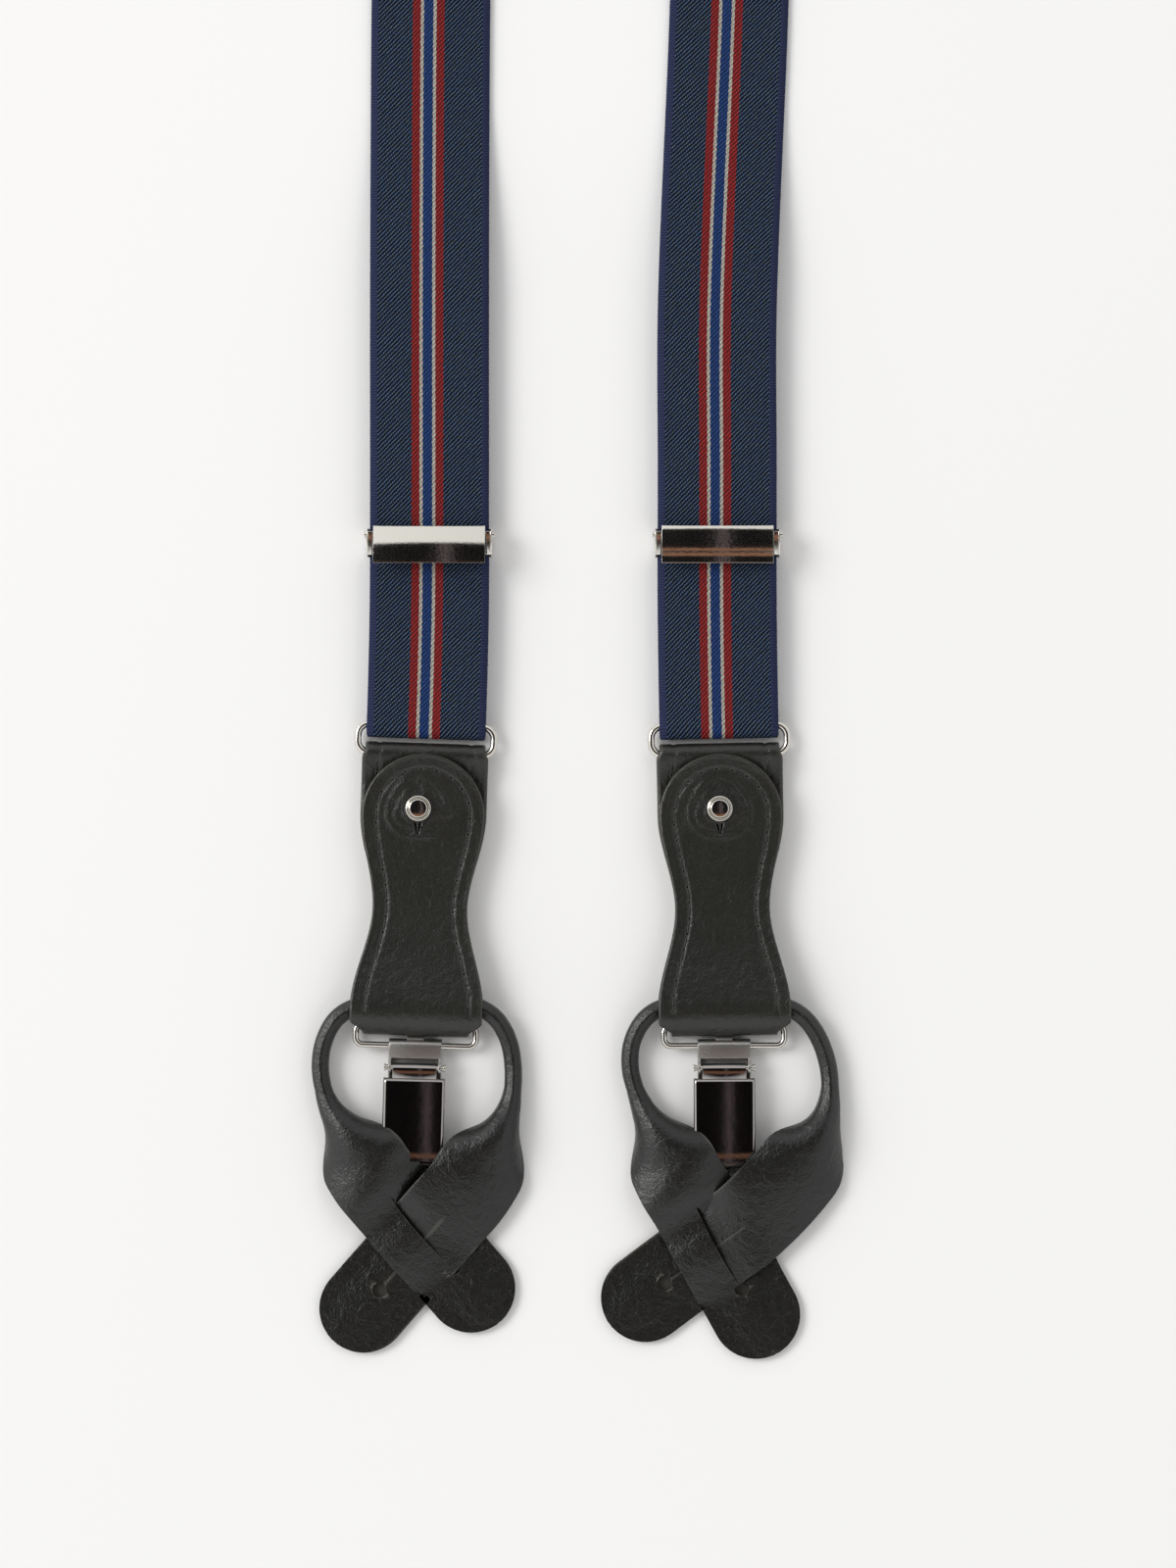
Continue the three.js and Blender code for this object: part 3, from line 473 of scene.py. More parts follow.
def new_material(name, **constants):
    """A material with its Principled shader's constant values set on their own sockets."""
    if name in bpy.data.materials:
        return bpy.data.materials[name], None, None
    material = bpy.data.materials.new(name)
    material.use_nodes = True
    shader = material.node_tree.nodes["Principled BSDF"]
    for key, value in constants.items():
        shader.inputs[key].default_value = value
    return material, material.node_tree, shader


def woven_elastic():
    """Twill elastic of polyester over rubber: matt, ribbed on the diagonal, with plain woven selvedges.

    The weave attribute holds the place across and along the strap in millimetres. Twill lines and threads are
    drawn coarser than real, so that they show.
    """
    look = bpy.context.scene.suspenders_webbing
    constants = {"Roughness": 0.8, "Specular IOR Level": 0.12}
    material, tree, shader = new_material("woven_polyester_elastic", **constants)
    if tree is None:
        return material
    weave = add(tree, "Attribute", out=1, attribute_name="weave")
    u = add(tree, "SeparateXYZ", (weave,))
    v = u.node.outputs[1]
    # Twill lines climb to the right, one every twill_pitch across the strap, and wander a little.
    noise = add(tree, "TexNoise", {"Vector": weave, "Scale": 1 / 1.11, "Detail": 2.0})
    wander = add(tree, "Math", (noise, 0.5, -0.25), operation="MULTIPLY_ADD")
    climb = add(tree, "Math", (v, u), operation="SUBTRACT")
    climb = add(tree, "Math", (climb, wander), operation="ADD")
    climb = add(tree, "Math", (climb, 2 * math.pi / look.twill_pitch), operation="MULTIPLY")
    wave = add(tree, "Math", (climb,), operation="SINE")
    rib = add(tree, "Math", (wave, 0.5, 0.5), operation="MULTIPLY_ADD")
    # Warp threads break each line into dashes.
    ends = add(tree, "Math", (v, 0.35, u), operation="MULTIPLY_ADD")
    ends = add(tree, "Math", (ends, 2 * math.pi / look.thread), operation="MULTIPLY")
    wave = add(tree, "Math", (ends,), operation="SINE")
    thread = add(tree, "Math", (wave, 0.5, 0.5), operation="MULTIPLY_ADD")
    narrow = add(tree, "Math", (rib, 3.2), operation="POWER")
    broken = add(tree, "Math", (thread, 0.85, 0.15), operation="MULTIPLY_ADD")
    dash = add(tree, "Math", (narrow, broken), operation="MULTIPLY")
    noise = add(tree, "TexNoise", {"Vector": weave, "Scale": 1 / 0.385, "Detail": 1.0})
    speck = add(tree, "Math", (noise, 3.6, 0.3), operation="MULTIPLY_ADD")
    dash = add(tree, "Math", (dash, speck), operation="MULTIPLY")
    # Stripes: royal blue in the middle, then cream, then red, then the navy ground.
    aside = add(tree, "Math", (u, STRIPE_SHIFT), operation="SUBTRACT")
    aside = add(tree, "Math", (aside,), operation="ABSOLUTE")
    fray = add(tree, "Math", (thread, 0.16, -0.08), operation="MULTIPLY_ADD")
    aside = add(tree, "Math", (aside, fray), operation="ADD")
    half = look.width / 2
    ground = add(tree, "ValToRGB", (add(tree, "Math", (aside, half), operation="DIVIDE"),))
    ramp = ground.node.color_ramp
    ramp.interpolation = "CONSTANT"
    tints = (look.royal, look.cream, look.red, look.navy)
    while len(ramp.elements) < len(tints):
        ramp.elements.new(0.5)
    for element, at, tint in zip(ramp.elements, (0, *STRIPES), tints):
        element.position = at / half
        element.color = tint
    # Single threads in the ground are olive.
    noise = add(tree, "TexNoise", {"Vector": weave, "Scale": 1 / 0.588, "Detail": 0.0})
    olive = add(tree, "Math", (noise, 0.56), operation="GREATER_THAN")
    in_navy = add(tree, "Math", (aside, STRIPES[2]), operation="GREATER_THAN")
    olive = add(tree, "Math", (olive, in_navy), operation="MULTIPLY")
    olive = add(tree, "Math", (olive, 0.6), operation="MULTIPLY")
    ground = add(tree, "Mix", {0: olive, 6: ground, 7: linear("#7d8674")}, out=2, data_type="RGBA")
    # Stripes, and the cream most of all, get less of the painted groove shade between the dashes.
    in_stripe = add(tree, "Math", (aside, STRIPES[2]), operation="LESS_THAN")
    in_stripe = add(tree, "Math", (in_stripe, 0.12), operation="MULTIPLY")
    in_cream = add(tree, "Math", (aside, 1.85, 0.45), operation="COMPARE")
    lift = add(tree, "Math", (in_cream, 0.14, in_stripe), operation="MULTIPLY_ADD")
    shown = add(tree, "Math", (dash, lift), operation="ADD")
    shown = add(tree, "Math", (shown, 1.0), operation="MINIMUM")
    # Between the dashes the near-black shade colour is partly painted shade in the twill grooves.
    face = add(tree, "Mix", {0: shown, 6: look.shade, 7: ground}, out=2, data_type="RGBA")
    # The selvedge is plain weave: fine cross ribs, no twill.
    off = add(tree, "Math", (u,), operation="ABSOLUTE")
    edge = add(tree, "Math", (off, half - SELVEDGE), operation="GREATER_THAN")
    ribs = add(tree, "Math", (v, 2 * math.pi / SELVEDGE_RIB), operation="MULTIPLY")
    ribs = add(tree, "Math", (ribs,), operation="SINE")
    cross = add(tree, "Math", (ribs, 0.5, 0.5), operation="MULTIPLY_ADD")
    share = add(tree, "Math", (cross, 0.5, 0.4), operation="MULTIPLY_ADD")
    plain = {0: share, 6: linear("#0c1026"), 7: linear("#343b5a")}
    plain = add(tree, "Mix", plain, out=2, data_type="RGBA")
    sides = {0: edge, 6: face, 7: plain}
    add(tree, "Mix", sides, out=2, to=shader.inputs["Base Color"], data_type="RGBA")
    cross = add(tree, "Math", (cross, 0.4), operation="MULTIPLY")
    height = add(tree, "Mix", {0: edge, 2: dash, 3: cross}, out=0, data_type="FLOAT")
    add(tree, "Bump", {"Height": height, "Distance": 0.35 * MM, "Strength": 1.0}, to=shader.inputs["Normal"])
    return material


def dyed_hide(name, tint, roughness, grain_depth, worn=0.0):
    """Vegetable-tanned leather, drum dyed black and waxed: satin, with a pebbled grain and faint creases.

    worn is how far rubbing has paled its edges.
    """
    material, tree, shader = new_material(name, **{"Specular IOR Level": 0.6})
    if tree is None:
        return material
    look = bpy.context.scene.suspenders_leather
    where = add(tree, "TexCoord", out=3)
    cell = 1 / (look.grain * MM)
    pebble = {"Vector": where, "Scale": cell, "Randomness": 1.0}
    pebble = add(tree, "TexVoronoi", pebble, feature="SMOOTH_F1")
    pores = {"Vector": where, "Scale": cell * 1.7, "Detail": 4.0, "Roughness": 0.6}
    pores = add(tree, "TexNoise", pores)
    crease = {"Vector": where, "Scale": 1 / (2.94 * MM), "Detail": 4.0, "Distortion": 0.6}
    crease = add(tree, "TexNoise", crease)
    cloud = add(tree, "TexNoise", {"Vector": where, "Scale": 1 / (14.3 * MM), "Detail": 3.0})
    # Dye takes unevenly.
    lighter = [min(c * 1.9 + 0.004, 1) for c in tint[:3]] + [1.0]
    blotch = add(tree, "Math", (cloud, pores), operation="MULTIPLY")
    blotch = add(tree, "Math", (blotch, 1.5, -0.15), operation="MULTIPLY_ADD")
    paint = add(tree, "Mix", {0: blotch, 6: tint, 7: lighter}, out=2, data_type="RGBA")
    if worn:
        edge = add(tree, "NewGeometry", out=7)
        rub = add(tree, "Math", (edge, 9.0, -4.7), operation="MULTIPLY_ADD")
        rub = add(tree, "Math", (rub, worn), operation="MULTIPLY")
        rub = add(tree, "Math", (rub, 0.0), operation="MAXIMUM")
        rub = add(tree, "Math", (rub, 0.8), operation="MINIMUM")
        paint = add(tree, "Mix", {0: rub, 6: paint, 7: linear("#5b5a53")}, out=2, data_type="RGBA")
    tree.links.new(paint, shader.inputs["Base Color"])
    rough = (pores, 0.22, roughness - 0.11)
    add(tree, "Math", rough, to=shader.inputs["Roughness"], operation="MULTIPLY_ADD")
    height = add(tree, "Math", (pebble, 0.6), operation="MULTIPLY")
    height = add(tree, "Math", (pores, 0.5, height), operation="MULTIPLY_ADD")
    height = add(tree, "Math", (crease, 2.2, height), operation="MULTIPLY_ADD")
    bump_depth = {"Height": height, "Distance": grain_depth * MM, "Strength": 1.0}
    add(tree, "Bump", bump_depth, to=shader.inputs["Normal"])
    return material


def hide_face():
    """Black leather's waxed grain side: satin, with soft highlights."""
    return dyed_hide(
        "waxed_black_hide", tuple(bpy.context.scene.suspenders_leather.face), 0.33, 0.12, worn=0.2
    )


def hide_edge():
    """Black leather's cut edge, burnished: duller and a little paler than the face."""
    return dyed_hide("burnished_hide_edge", tuple(bpy.context.scene.suspenders_leather.edge), 0.7, 0.12)


def painted_hole_shade():
    """Painted shade of a stitch hole: matt and very dark, standing in for the shadow inside the hole."""
    return new_material(
        "painted_hole_shade_black", **{"Base Color": linear("#040403"), "Roughness": 0.95, "Specular IOR Level": 0.1}
    )[0]


def runner_hide():
    """Softer black leather, rolled and waxed: closer to gloss where it bends."""
    return dyed_hide("soft_rolled_hide", linear("#050604"), 0.31, 0.15, worn=0.25)


def plated(name, tint, roughness, depth, peel_width):
    """Nickel plate over polished steel: a mirror with a faint orange peel and fine handling scratches.

    peel_width is in millimetres. The scratches are drawn 0.19 mm wide, coarser than real, so that they show.
    """
    material, tree, shader = new_material(name, **{"Metallic": 1.0, "Base Color": tint})
    if tree is None:
        return material
    where = add(tree, "TexCoord", out=3)
    peel = add(tree, "TexNoise", {"Vector": where, "Scale": 1 / (peel_width * MM), "Detail": 2.0})
    drawn = add(tree, "Mapping", {"Vector": where, "Scale": (3.0, 0.15, 1.0), "Rotation": (0, 0, 0.3)})
    scratch = add(tree, "TexNoise", {"Vector": drawn, "Scale": 1 / (0.19 * MM), "Detail": 2.0})
    rough = add(tree, "Math", (scratch, 0.12, roughness - 0.05), operation="MULTIPLY_ADD")
    tree.links.new(rough, shader.inputs["Roughness"])
    height = add(tree, "Math", (scratch, 0.06, peel), operation="MULTIPLY_ADD")
    add(tree, "Bump", {"Height": height, "Distance": depth * MM, "Strength": 1.0}, to=shader.inputs["Normal"])
    return material


def bright_nickel():
    """Bright nickel, electroplated on drawn wire and pressed steel: clean, slightly warm reflections."""
    return plated("bright_nickel_plate", linear("#dedbd3"), 0.12, 0.02, 1.11)


def dark_nickel():
    """Nickel plated over a buffed cover: a sharp, darker mirror."""
    return plated("polished_black_nickel", linear("#a29e9c"), 0.1, 0.015, 2.0)


def stamped_nickel():
    """Nickel plated over tumbled stampings: soft, blurred reflections."""
    return plated("tumbled_black_nickel", linear("#b0aeab"), 0.34, 0.06, 0.667)


def moulded_liner():
    """Nylon liner, injection moulded: dull black with fine gripping ribs."""
    constants = {"Base Color": linear("#15161a"), "Roughness": 0.55}
    material, tree, shader = new_material("moulded_nylon", **constants)
    if tree is None:
        return material
    where = add(tree, "TexCoord", out=3)
    # A wave texture of scale 1 has a rib every pi / 10.
    ribs = {"Vector": where, "Scale": math.pi / (10 * 1.97 * MM), "Distortion": 0.0}
    ribs = add(tree, "TexWave", ribs, out=1, bands_direction="Y")
    add(tree, "Bump", {"Height": ribs, "Distance": 0.2 * MM, "Strength": 1.0}, to=shader.inputs["Normal"])
    return material


def waxed_thread():
    """Waxed polyester sewing thread: two plies laid up with a twist."""
    constants = {"Base Color": linear("#1d1e1b"), "Roughness": 0.4}
    material, tree, shader = new_material("waxed_thread", **constants)
    if tree is None:
        return material
    where = add(tree, "TexCoord", out=3)
    ply = add(tree, "TexNoise", {"Vector": where, "Scale": 1 / (0.385 * MM), "Detail": 1.0})
    add(tree, "Bump", {"Height": ply, "Distance": 0.08 * MM, "Strength": 1.0}, to=shader.inputs["Normal"])
    return material


# ---------- webbing ----------
def web_piece(name, stops, curve, shift, body, replaced, trim=None):
    """One closed length of webbing. Each stop is (distance, middle height, moved along, lean)."""
    width = bpy.context.scene.suspenders_webbing.width
    columns = 18
    across = [(-1 + 2 * k / columns) for k in range(columns + 1)]
    sections, weave, run, last = [], [], 0.0, None
    for s, z, along_by, lean in stops:
        p, t = curve.point(s), curve.heading(s, 3.0)
        along = Vector((t.x, t.y, 0)).normalized()
        side = Vector((along.y, -along.x, 0))
        up = along * -math.sin(lean) + UP * math.cos(lean)
        middle = Vector((p.x, p.y, z)) + along * along_by + shift
        if last is not None:
            run += (middle - last).length
        last = middle
        half, thin = width / 2, WEB_THICK / 2
        ring, marks = [], []
        for a in across:
            ring.append(middle + side * a * (half - 0.35) + up * thin)
            marks.append((a * half, run))
        ring.append(middle + side * half)
        marks.append((half, run))
        for a in reversed(across):
            ring.append(middle + side * a * (half - 0.35) - up * thin)
            marks.append((a * half, run))
        ring.append(middle - side * half)
        marks.append((-half, run))
        sections.append(ring)
        weave += marks
    points, faces = loft(sections)
    if trim:
        limit, keep = trim
        for p in points:
            if p.y > (PATCH["from"] - 60) + shift.y:
                p.x = min(p.x, limit) if keep < 0 else max(p.x, limit)
    obj = mesh_object(name, points, faces, [woven_elastic()])
    attribute = obj.data.attributes.new("weave", "FLOAT_VECTOR", "POINT")
    attribute.data.foreach_set("vector", [c for u, v in weave for c in (u, v, 0.0)])
    if body:
        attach(obj, body)
    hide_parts(*replaced)
    return obj, run


def lean_at(height, s, reach=2.0):
    """The slope of the webbing at a distance along it."""
    return math.atan2(height(s + reach) - height(s - reach), 2 * reach)


def run_stops(low, high, step, height):
    """Stops along a plain run of webbing."""
    count = math.ceil((high - low) / step)
    spots = [low + (high - low) * k / count for k in range(count + 1)]
    return [(s, height(s), 0.0, lean_at(height, s)) for s in spots]


def loop_stops(steps=16):
    """Round the ring's upper bar, from under it, by the inside of the ring, to over it."""
    made = []
    for i in range(steps + 1):
        a = -math.pi / 2 - math.pi * i / steps
        reach = math.cos(a) * WEB_LOOP * 1.55
        made.append((RING_BAR, RING_Z + math.sin(a) * WEB_LOOP, reach, -math.pi * i / steps - math.pi))
    return made


class SUSPENDERS_OT_straps(bpy.types.Operator):
    """Weave the two front straps and the rear strap"""

    bl_idname = "suspenders.straps"
    bl_label = "Straps"

    def execute(self, context):
        shift = plan_shift()
        stub = [(RING_BAR + 4.2, WEB_BACK_Z, 0.0, math.pi), (RING_BAR + 2, WEB_BACK_Z, 0.0, math.pi)]
        for name, side in (("left", -1), ("right", 1)):
            curve = Route(STRAPS[name])
            raised, inside = ADJUSTER_AT + 72, curve.length - 34

            def height(s):
                down = mix(WEB_FRONT_Z, WEB_FLOOR_Z, smooth((s - raised) / 60))
                return mix(down, PATCH_WEB_Z, smooth((s - inside + 46) / 26))

            stops = [*stub, *loop_stops(), *run_stops(RING_BAR + 1.5, curve.length, 4.0, height)]
            limit = PATCH["x"] + side * 0.2 + shift.x
            strap, length = web_piece(
                f"{name}_webbing", stops, curve, shift, "straps", [f"{name}_strap"], (limit, side)
            )
        curve = Route(STRAPS["rear"])
        inside = curve.length

        def rear_height(s):
            over = mix(WEB_FRONT_Z, WEB_BACK_Z + WEB_THICK + GAP, smooth((s - 6) / 22))
            down = mix(over, WEB_FLOOR_Z, smooth((s - 44) / 26))
            return mix(down, PATCH_WEB_Z, smooth((s - inside + 52) / 22))

        turned = [(s, z, d, math.pi) for s, z, d, _ in run_stops(RING_BAR + 4, 38, 5, lambda s: WEB_BACK_Z)]
        stops = [*reversed(turned), *loop_stops(), *run_stops(RING_BAR + 1.5, inside, 3.5, rear_height)]
        strap, length = web_piece("rear_webbing", stops, curve, shift, "straps", ["rear_strap"])
        return {"FINISHED"}


class SUSPENDERS_OT_returns(bpy.types.Operator):
    """Bring each front strap's cut end back under it and round its adjuster"""

    bl_idname = "suspenders.returns"
    bl_label = "Return layers"

    def execute(self, context):
        shift = plan_shift()
        radius = 0.35 + GAP + WEB_THICK / 2
        bar = ADJUSTER_AT - 3.5
        for name in FRONTS:
            curve = Route(STRAPS[name])

            def height(s):
                return mix(WEB_BACK_Z, SLEEVE_Z - radius, smooth((s - 14) / 20))

            turn = []
            for i in range(13):
                a = -math.pi / 2 + math.pi * i / 12
                reach = math.cos(a) * (0.8 + GAP + WEB_THICK / 2)
                turn.append((bar, SLEEVE_Z + math.sin(a) * radius, reach, math.pi * i / 12))
            over = [(bar - 2 - k, SLEEVE_Z + radius, 0.0, math.pi) for k in (0, 3, 6, 9.2)]
            stops = [*run_stops(RING_BAR + 4.6, bar - 1, 4, height), *turn, *over]
            nodes = [f"{name}_strap_return", f"{name}_strap_sewn_end"]
            layer, length = web_piece(f"{name}_return_webbing", stops, curve, shift, None, nodes)
            start, end = [curve.point(s) + shift for s in (RING_BAR + 6, 40)]
            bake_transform(layer)
        return {"FINISHED"}


# ---------- leather tabs ----------
def tab_half_width(y, back):
    """Half the width of the leather tab's front or back layer."""
    d = -y
    wide = 18.3 if back else END_RADIUS
    if back and d < 10:
        return mix(17.4, wide, smooth((d - 3.2) / 2.2))
    if d <= END_CENTRE:
        return wide
    if d <= 49.0:
        return mix(wide, 13.7, smooth((d - END_CENTRE) / (49.0 - END_CENTRE)))
    low = mix(13.7, 19.2, smooth((d - 49.0) / (TAB_LENGTH - 5 - 49.0)))
    if back:
        return mix(low, 15.4, smooth((d - TAB_LENGTH + 4.2) / 3.2))
    return mix(low, 15.6, smooth((d - TAB_LENGTH + 1.2) / 3.0))


def flap_half_width(y, z=FLAP_Z):
    """Half the flap's width; its turned-under end is narrower."""
    above = y + END_CENTRE
    if above > 0:
        return math.sqrt(max(END_RADIUS**2 - above**2, 0.09))
    return mix(15.4, tab_half_width(y, False), smooth((z - 4.3) / 1.6))


def strip_mesh(name, route, half_width, place, relief, columns=44, step=0.8):
    """A closed leather strip whose middle follows a (y, z) route, with its cut edges in their own material.

    half_width(y, z) is half the strip's width there.
    relief(x, y, face) lifts a point of the upper (1) or lower (-1) face along the strip's normal.
    """
    sections = []
    distance, spots = 0.0, []
    while distance < route.length:
        spots.append(distance)
        distance += step if route.length - distance > 3 else step * 0.5
    spots.append(route.length)
    for s in spots:
        p, t = route.point(s), route.heading(s, 0.3)
        normal = Vector((0, -t.y, t.x))
        middle = Vector((0, p.x, p.y))
        w = half_width(p.x, p.y)
        thin = LEATHER / 2
        across = [(-1 + 2 * k / columns) * max(w - 0.3, 0.05) for k in range(columns + 1)]
        top = [middle + Vector((x, 0, 0)) + normal * (thin + relief(x, p.x, 1)) for x in across]
        low = [middle + Vector((x, 0, 0)) - normal * (thin - relief(x, p.x, -1)) for x in across]
        right = [
            middle + Vector((w, 0, 0)) + normal * (h * thin + relief(w, p.x, 0)) for h in (-0.55, 0.0, 0.55)
        ]
        left = [
            middle + Vector((-w, 0, 0)) + normal * (h * thin + relief(-w, p.x, 0)) for h in (0.55, 0.0, -0.55)
        ]
        sections.append([*top[::-1], *left, *low, *right])
    points, faces = loft(sections)
    per_row = [0] * columns + [1] * 4 + [0] * columns + [1] * 4
    indices = per_row * (len(sections) - 1) + [1, 1]
    return mesh_object(name, points, faces, [hide_face(), hide_edge()], place, indices=indices)


def hole_through(obj, place, x, y, radius, slits=False):
    """Cuts a round hole straight down through a piece, with two slits that let a stud's head pass."""
    parts = [lathe([(0, -5), (radius, -5), (radius, 25), (0, 25)], (x, y), 36)]
    for lean in (-0.42, 0.52) if slits else ():
        ends = [
            Vector((x + math.sin(a) * d, y - math.cos(a) * d))
            for a, d in ((-lean, 2.45), (-lean * 0.05, 7.4))
        ]
        side = (ends[1] - ends[0]).orthogonal().normalized()
        corners = [ends[0] + side * 0.5, ends[1] + side * 0.15, ends[1] - side * 0.15, ends[0] - side * 0.5]
        parts.append(loft([[Vector((*c, z)) for c in corners] for z in (FLAP_Z - 3, FLAP_Z + 6)]))
    for part in parts:
        cutter = mesh_object("cutter", *part, [hide_edge()], place, smooth_faces=False)
        add_modifier(obj, "BOOLEAN", operation="DIFFERENCE", object=cutter, solver="EXACT")
        apply_modifiers(obj)
        bpy.data.objects.remove(cutter)


def stitch(a, b, normal, radius=0.27, sink=0.5):
    """One stitch: a thread that comes up through one hole and goes down through the next."""
    path = []
    for k in range(9):
        t = k / 8
        rise = 0.1 - (0.1 + sink) * abs(2 * t - 1) ** 5
        path.append(a.lerp(b, t) + normal * rise)
    return sweep(path, radius, sides=8)


def awl_hole(at, along, normal):
    """The lip that a diamond awl leaves round a stitch hole, and a flat near-black diamond in it as painted
    shade of the hole.
    """
    side = normal.cross(along).normalized()
    tips = [along * 0.75, side * 0.5, along * -0.75, side * -0.5]
    # A flat near-black diamond lying on the surface: painted shade where the hole shows dark.
    shade_dot = loft([[at + tip + normal * lift for tip in tips] for lift in (-0.2, 0.07)])
    ring = []
    for k in range(16):
        a = 2 * math.pi * k / 16
        pinch = 1 / (abs(math.cos(a)) + abs(math.sin(a)))
        ring.append(
            at + along * math.cos(a) * 0.78 * pinch + side * math.sin(a) * 0.5 * pinch + normal * 0.05
        )
    return sweep(ring, 0.15, sides=6, ring=True), shade_dot


def stitch_row(path, normals, pitch):
    """Stitches and their holes along a polyline in millimetres."""
    route = Route(path, 6)
    count = max(int(route.length // pitch), 1)
    lead = (route.length - count * pitch) / 2
    threads, lips, shade_dots = [], [], []

    def normal_at(s):
        spot = route.point(s)
        return min(zip(path, normals), key=lambda q: (q[0] - spot).length)[1]

    for i in range(count + 1):
        s = lead + i * pitch
        along = route.heading(s)
        lip, shade_dot = awl_hole(route.point(s), along, normal_at(s))
        lips.append(lip)
        shade_dots.append(shade_dot)
        if i < count:
            threads.append(
                stitch(route.point(s + 0.35), route.point(s + pitch - 0.35), normal_at(s + pitch / 2))
            )
    return threads, lips, shade_dots


def stitch_pieces(name, rows, place, body):
    """The threads, hole lips and painted hole shade of some seams, as three pieces on one body."""
    threads, lips, shade_dots = [], [], []
    for path, normals in rows:
        for kept, more in zip((threads, lips, shade_dots), stitch_row(path, normals, STITCH["pitch"])):
            kept += more
    for suffix, parts, material in (
        ("stitches", threads, waxed_thread()),
        ("hole_lips", lips, hide_edge()),
        # The third piece is painted shade in the stitch holes.
        ("painted_hole_shade_dots", shade_dots, painted_hole_shade()),
    ):
        obj = mesh_object(f"{name}_{suffix}", *joined(parts), [material], place)
        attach(obj, body)


def flap_route():
    """The flap's middle line (y, z): from under the clip ring, round it and up to the round end."""
    fold = TAB_LENGTH + 2.2
    over = CORD_Z + ROLL / 2 + GAP + LEATHER / 2
    low = [
        (-TAB_LENGTH + 0.5, LINK_Z - 2.2),
        (-TAB_LENGTH - 0.75, LINK_Z - 2.08),
        (-TAB_LENGTH - 1.75, LINK_Z - 1.3),
    ]
    return Route(
        [
            *low,
            (-fold, LINK_Z + 0.3),
            (-fold + 0.4, LINK_Z + 2.0),
            (-TAB_LENGTH - 0.2, LINK_Z + 3.8),
            (-TAB_LENGTH + 2.6, over - 0.1),
            (-TAB_LENGTH + 5.8, over + 0.1),
            (-TAB_LENGTH + 9.5, over - 0.25),
            (-TAB_LENGTH + 22, FLAP_Z + 0.7),
            (-49.0, FLAP_Z),
            (-END_CENTRE, FLAP_Z),
            (-END_CENTRE + 10, FLAP_Z + 0.35),
            (-END_CENTRE + END_RADIUS - 0.02, FLAP_Z + 1.5),
        ]
    )


def back_route():
    """The back layer's middle line (y, z): from its lower end, up and round the strap ring."""
    loop = 1.05 + GAP + LEATHER / 2
    arc = [(-RING_BAR + loop * math.cos(a), RING_Z + loop * math.sin(a)) for a in
           [-math.pi / 2 + math.pi * k / 12 for k in range(13)]]
    head = 1.5 * LEATHER + GAP
    flat = [(-TAB_LENGTH + 0.5 + k * 9.0, LEATHER / 2) for k in range(9)]
    return Route(
        [*flat, *arc, (-RING_BAR - 4.5, head + 1.0), (-RING_BAR - 9, head), (-22, head), (-33, head)]
    )


def groove(gap):
    """The shallow channel that the stitches lie in, gap millimetres from the cut edge."""
    return -0.3 * bump(gap - STITCH["inset"], 0.8)


def flap_edge_gap(x, y):
    """Distance from the flap's cut edge."""
    above = y + END_CENTRE
    if above > 0:
        return END_RADIUS - math.hypot(x, above)
    return flap_half_width(y) - abs(x)


def flap_relief(stud_x):
    """How the flap's leather swells over the stud, ripples and sinks at its seam."""
    def relief(x, y, face):
        r = math.hypot(x - stud_x, y + STUD_AT)
        dome = 0.75 * math.exp(-((r / 6.5) ** 2)) + 0.12 * math.exp(-(((r - 8.5) / 1.2) ** 2))
        turn = math.atan2(y + STUD_AT, x - stud_x)
        pucker = 0.13 * math.cos(5 * turn + 0.6) * math.exp(-(((r - 7) / 3.0) ** 2))
        ripple = 0.09 * math.sin(2.3 * r + 1.7 * math.sin(3 * turn)) * math.exp(-(((r - 7.5) / 2.8) ** 2))
        soft = 0.18 * math.sin(y / 9.0 + x / 15.0) * bump(y + 50, 40)
        edge = groove(flap_edge_gap(x, y)) + 0.14 * bump(
            flap_edge_gap(x, y), 1.2
        ) if face == 1 and y > -80 else 0.0
        return dome + pucker + ripple + soft + edge

    return relief


def flap_point(x, y, route, relief):
    """A point on the flap's upper face, with its normal."""
    s = min(zip(route.points, route.at), key=lambda q: abs(q[0].x - y) + (50 if q[1] < 8 else 0))[1]
    t = route.heading(s, 0.4)
    normal = Vector((0, -t.y, t.x))
    p = route.point(s)
    return Vector((x, p.x, p.y)) + normal * (LEATHER / 2 + relief(x, y, 1)), normal


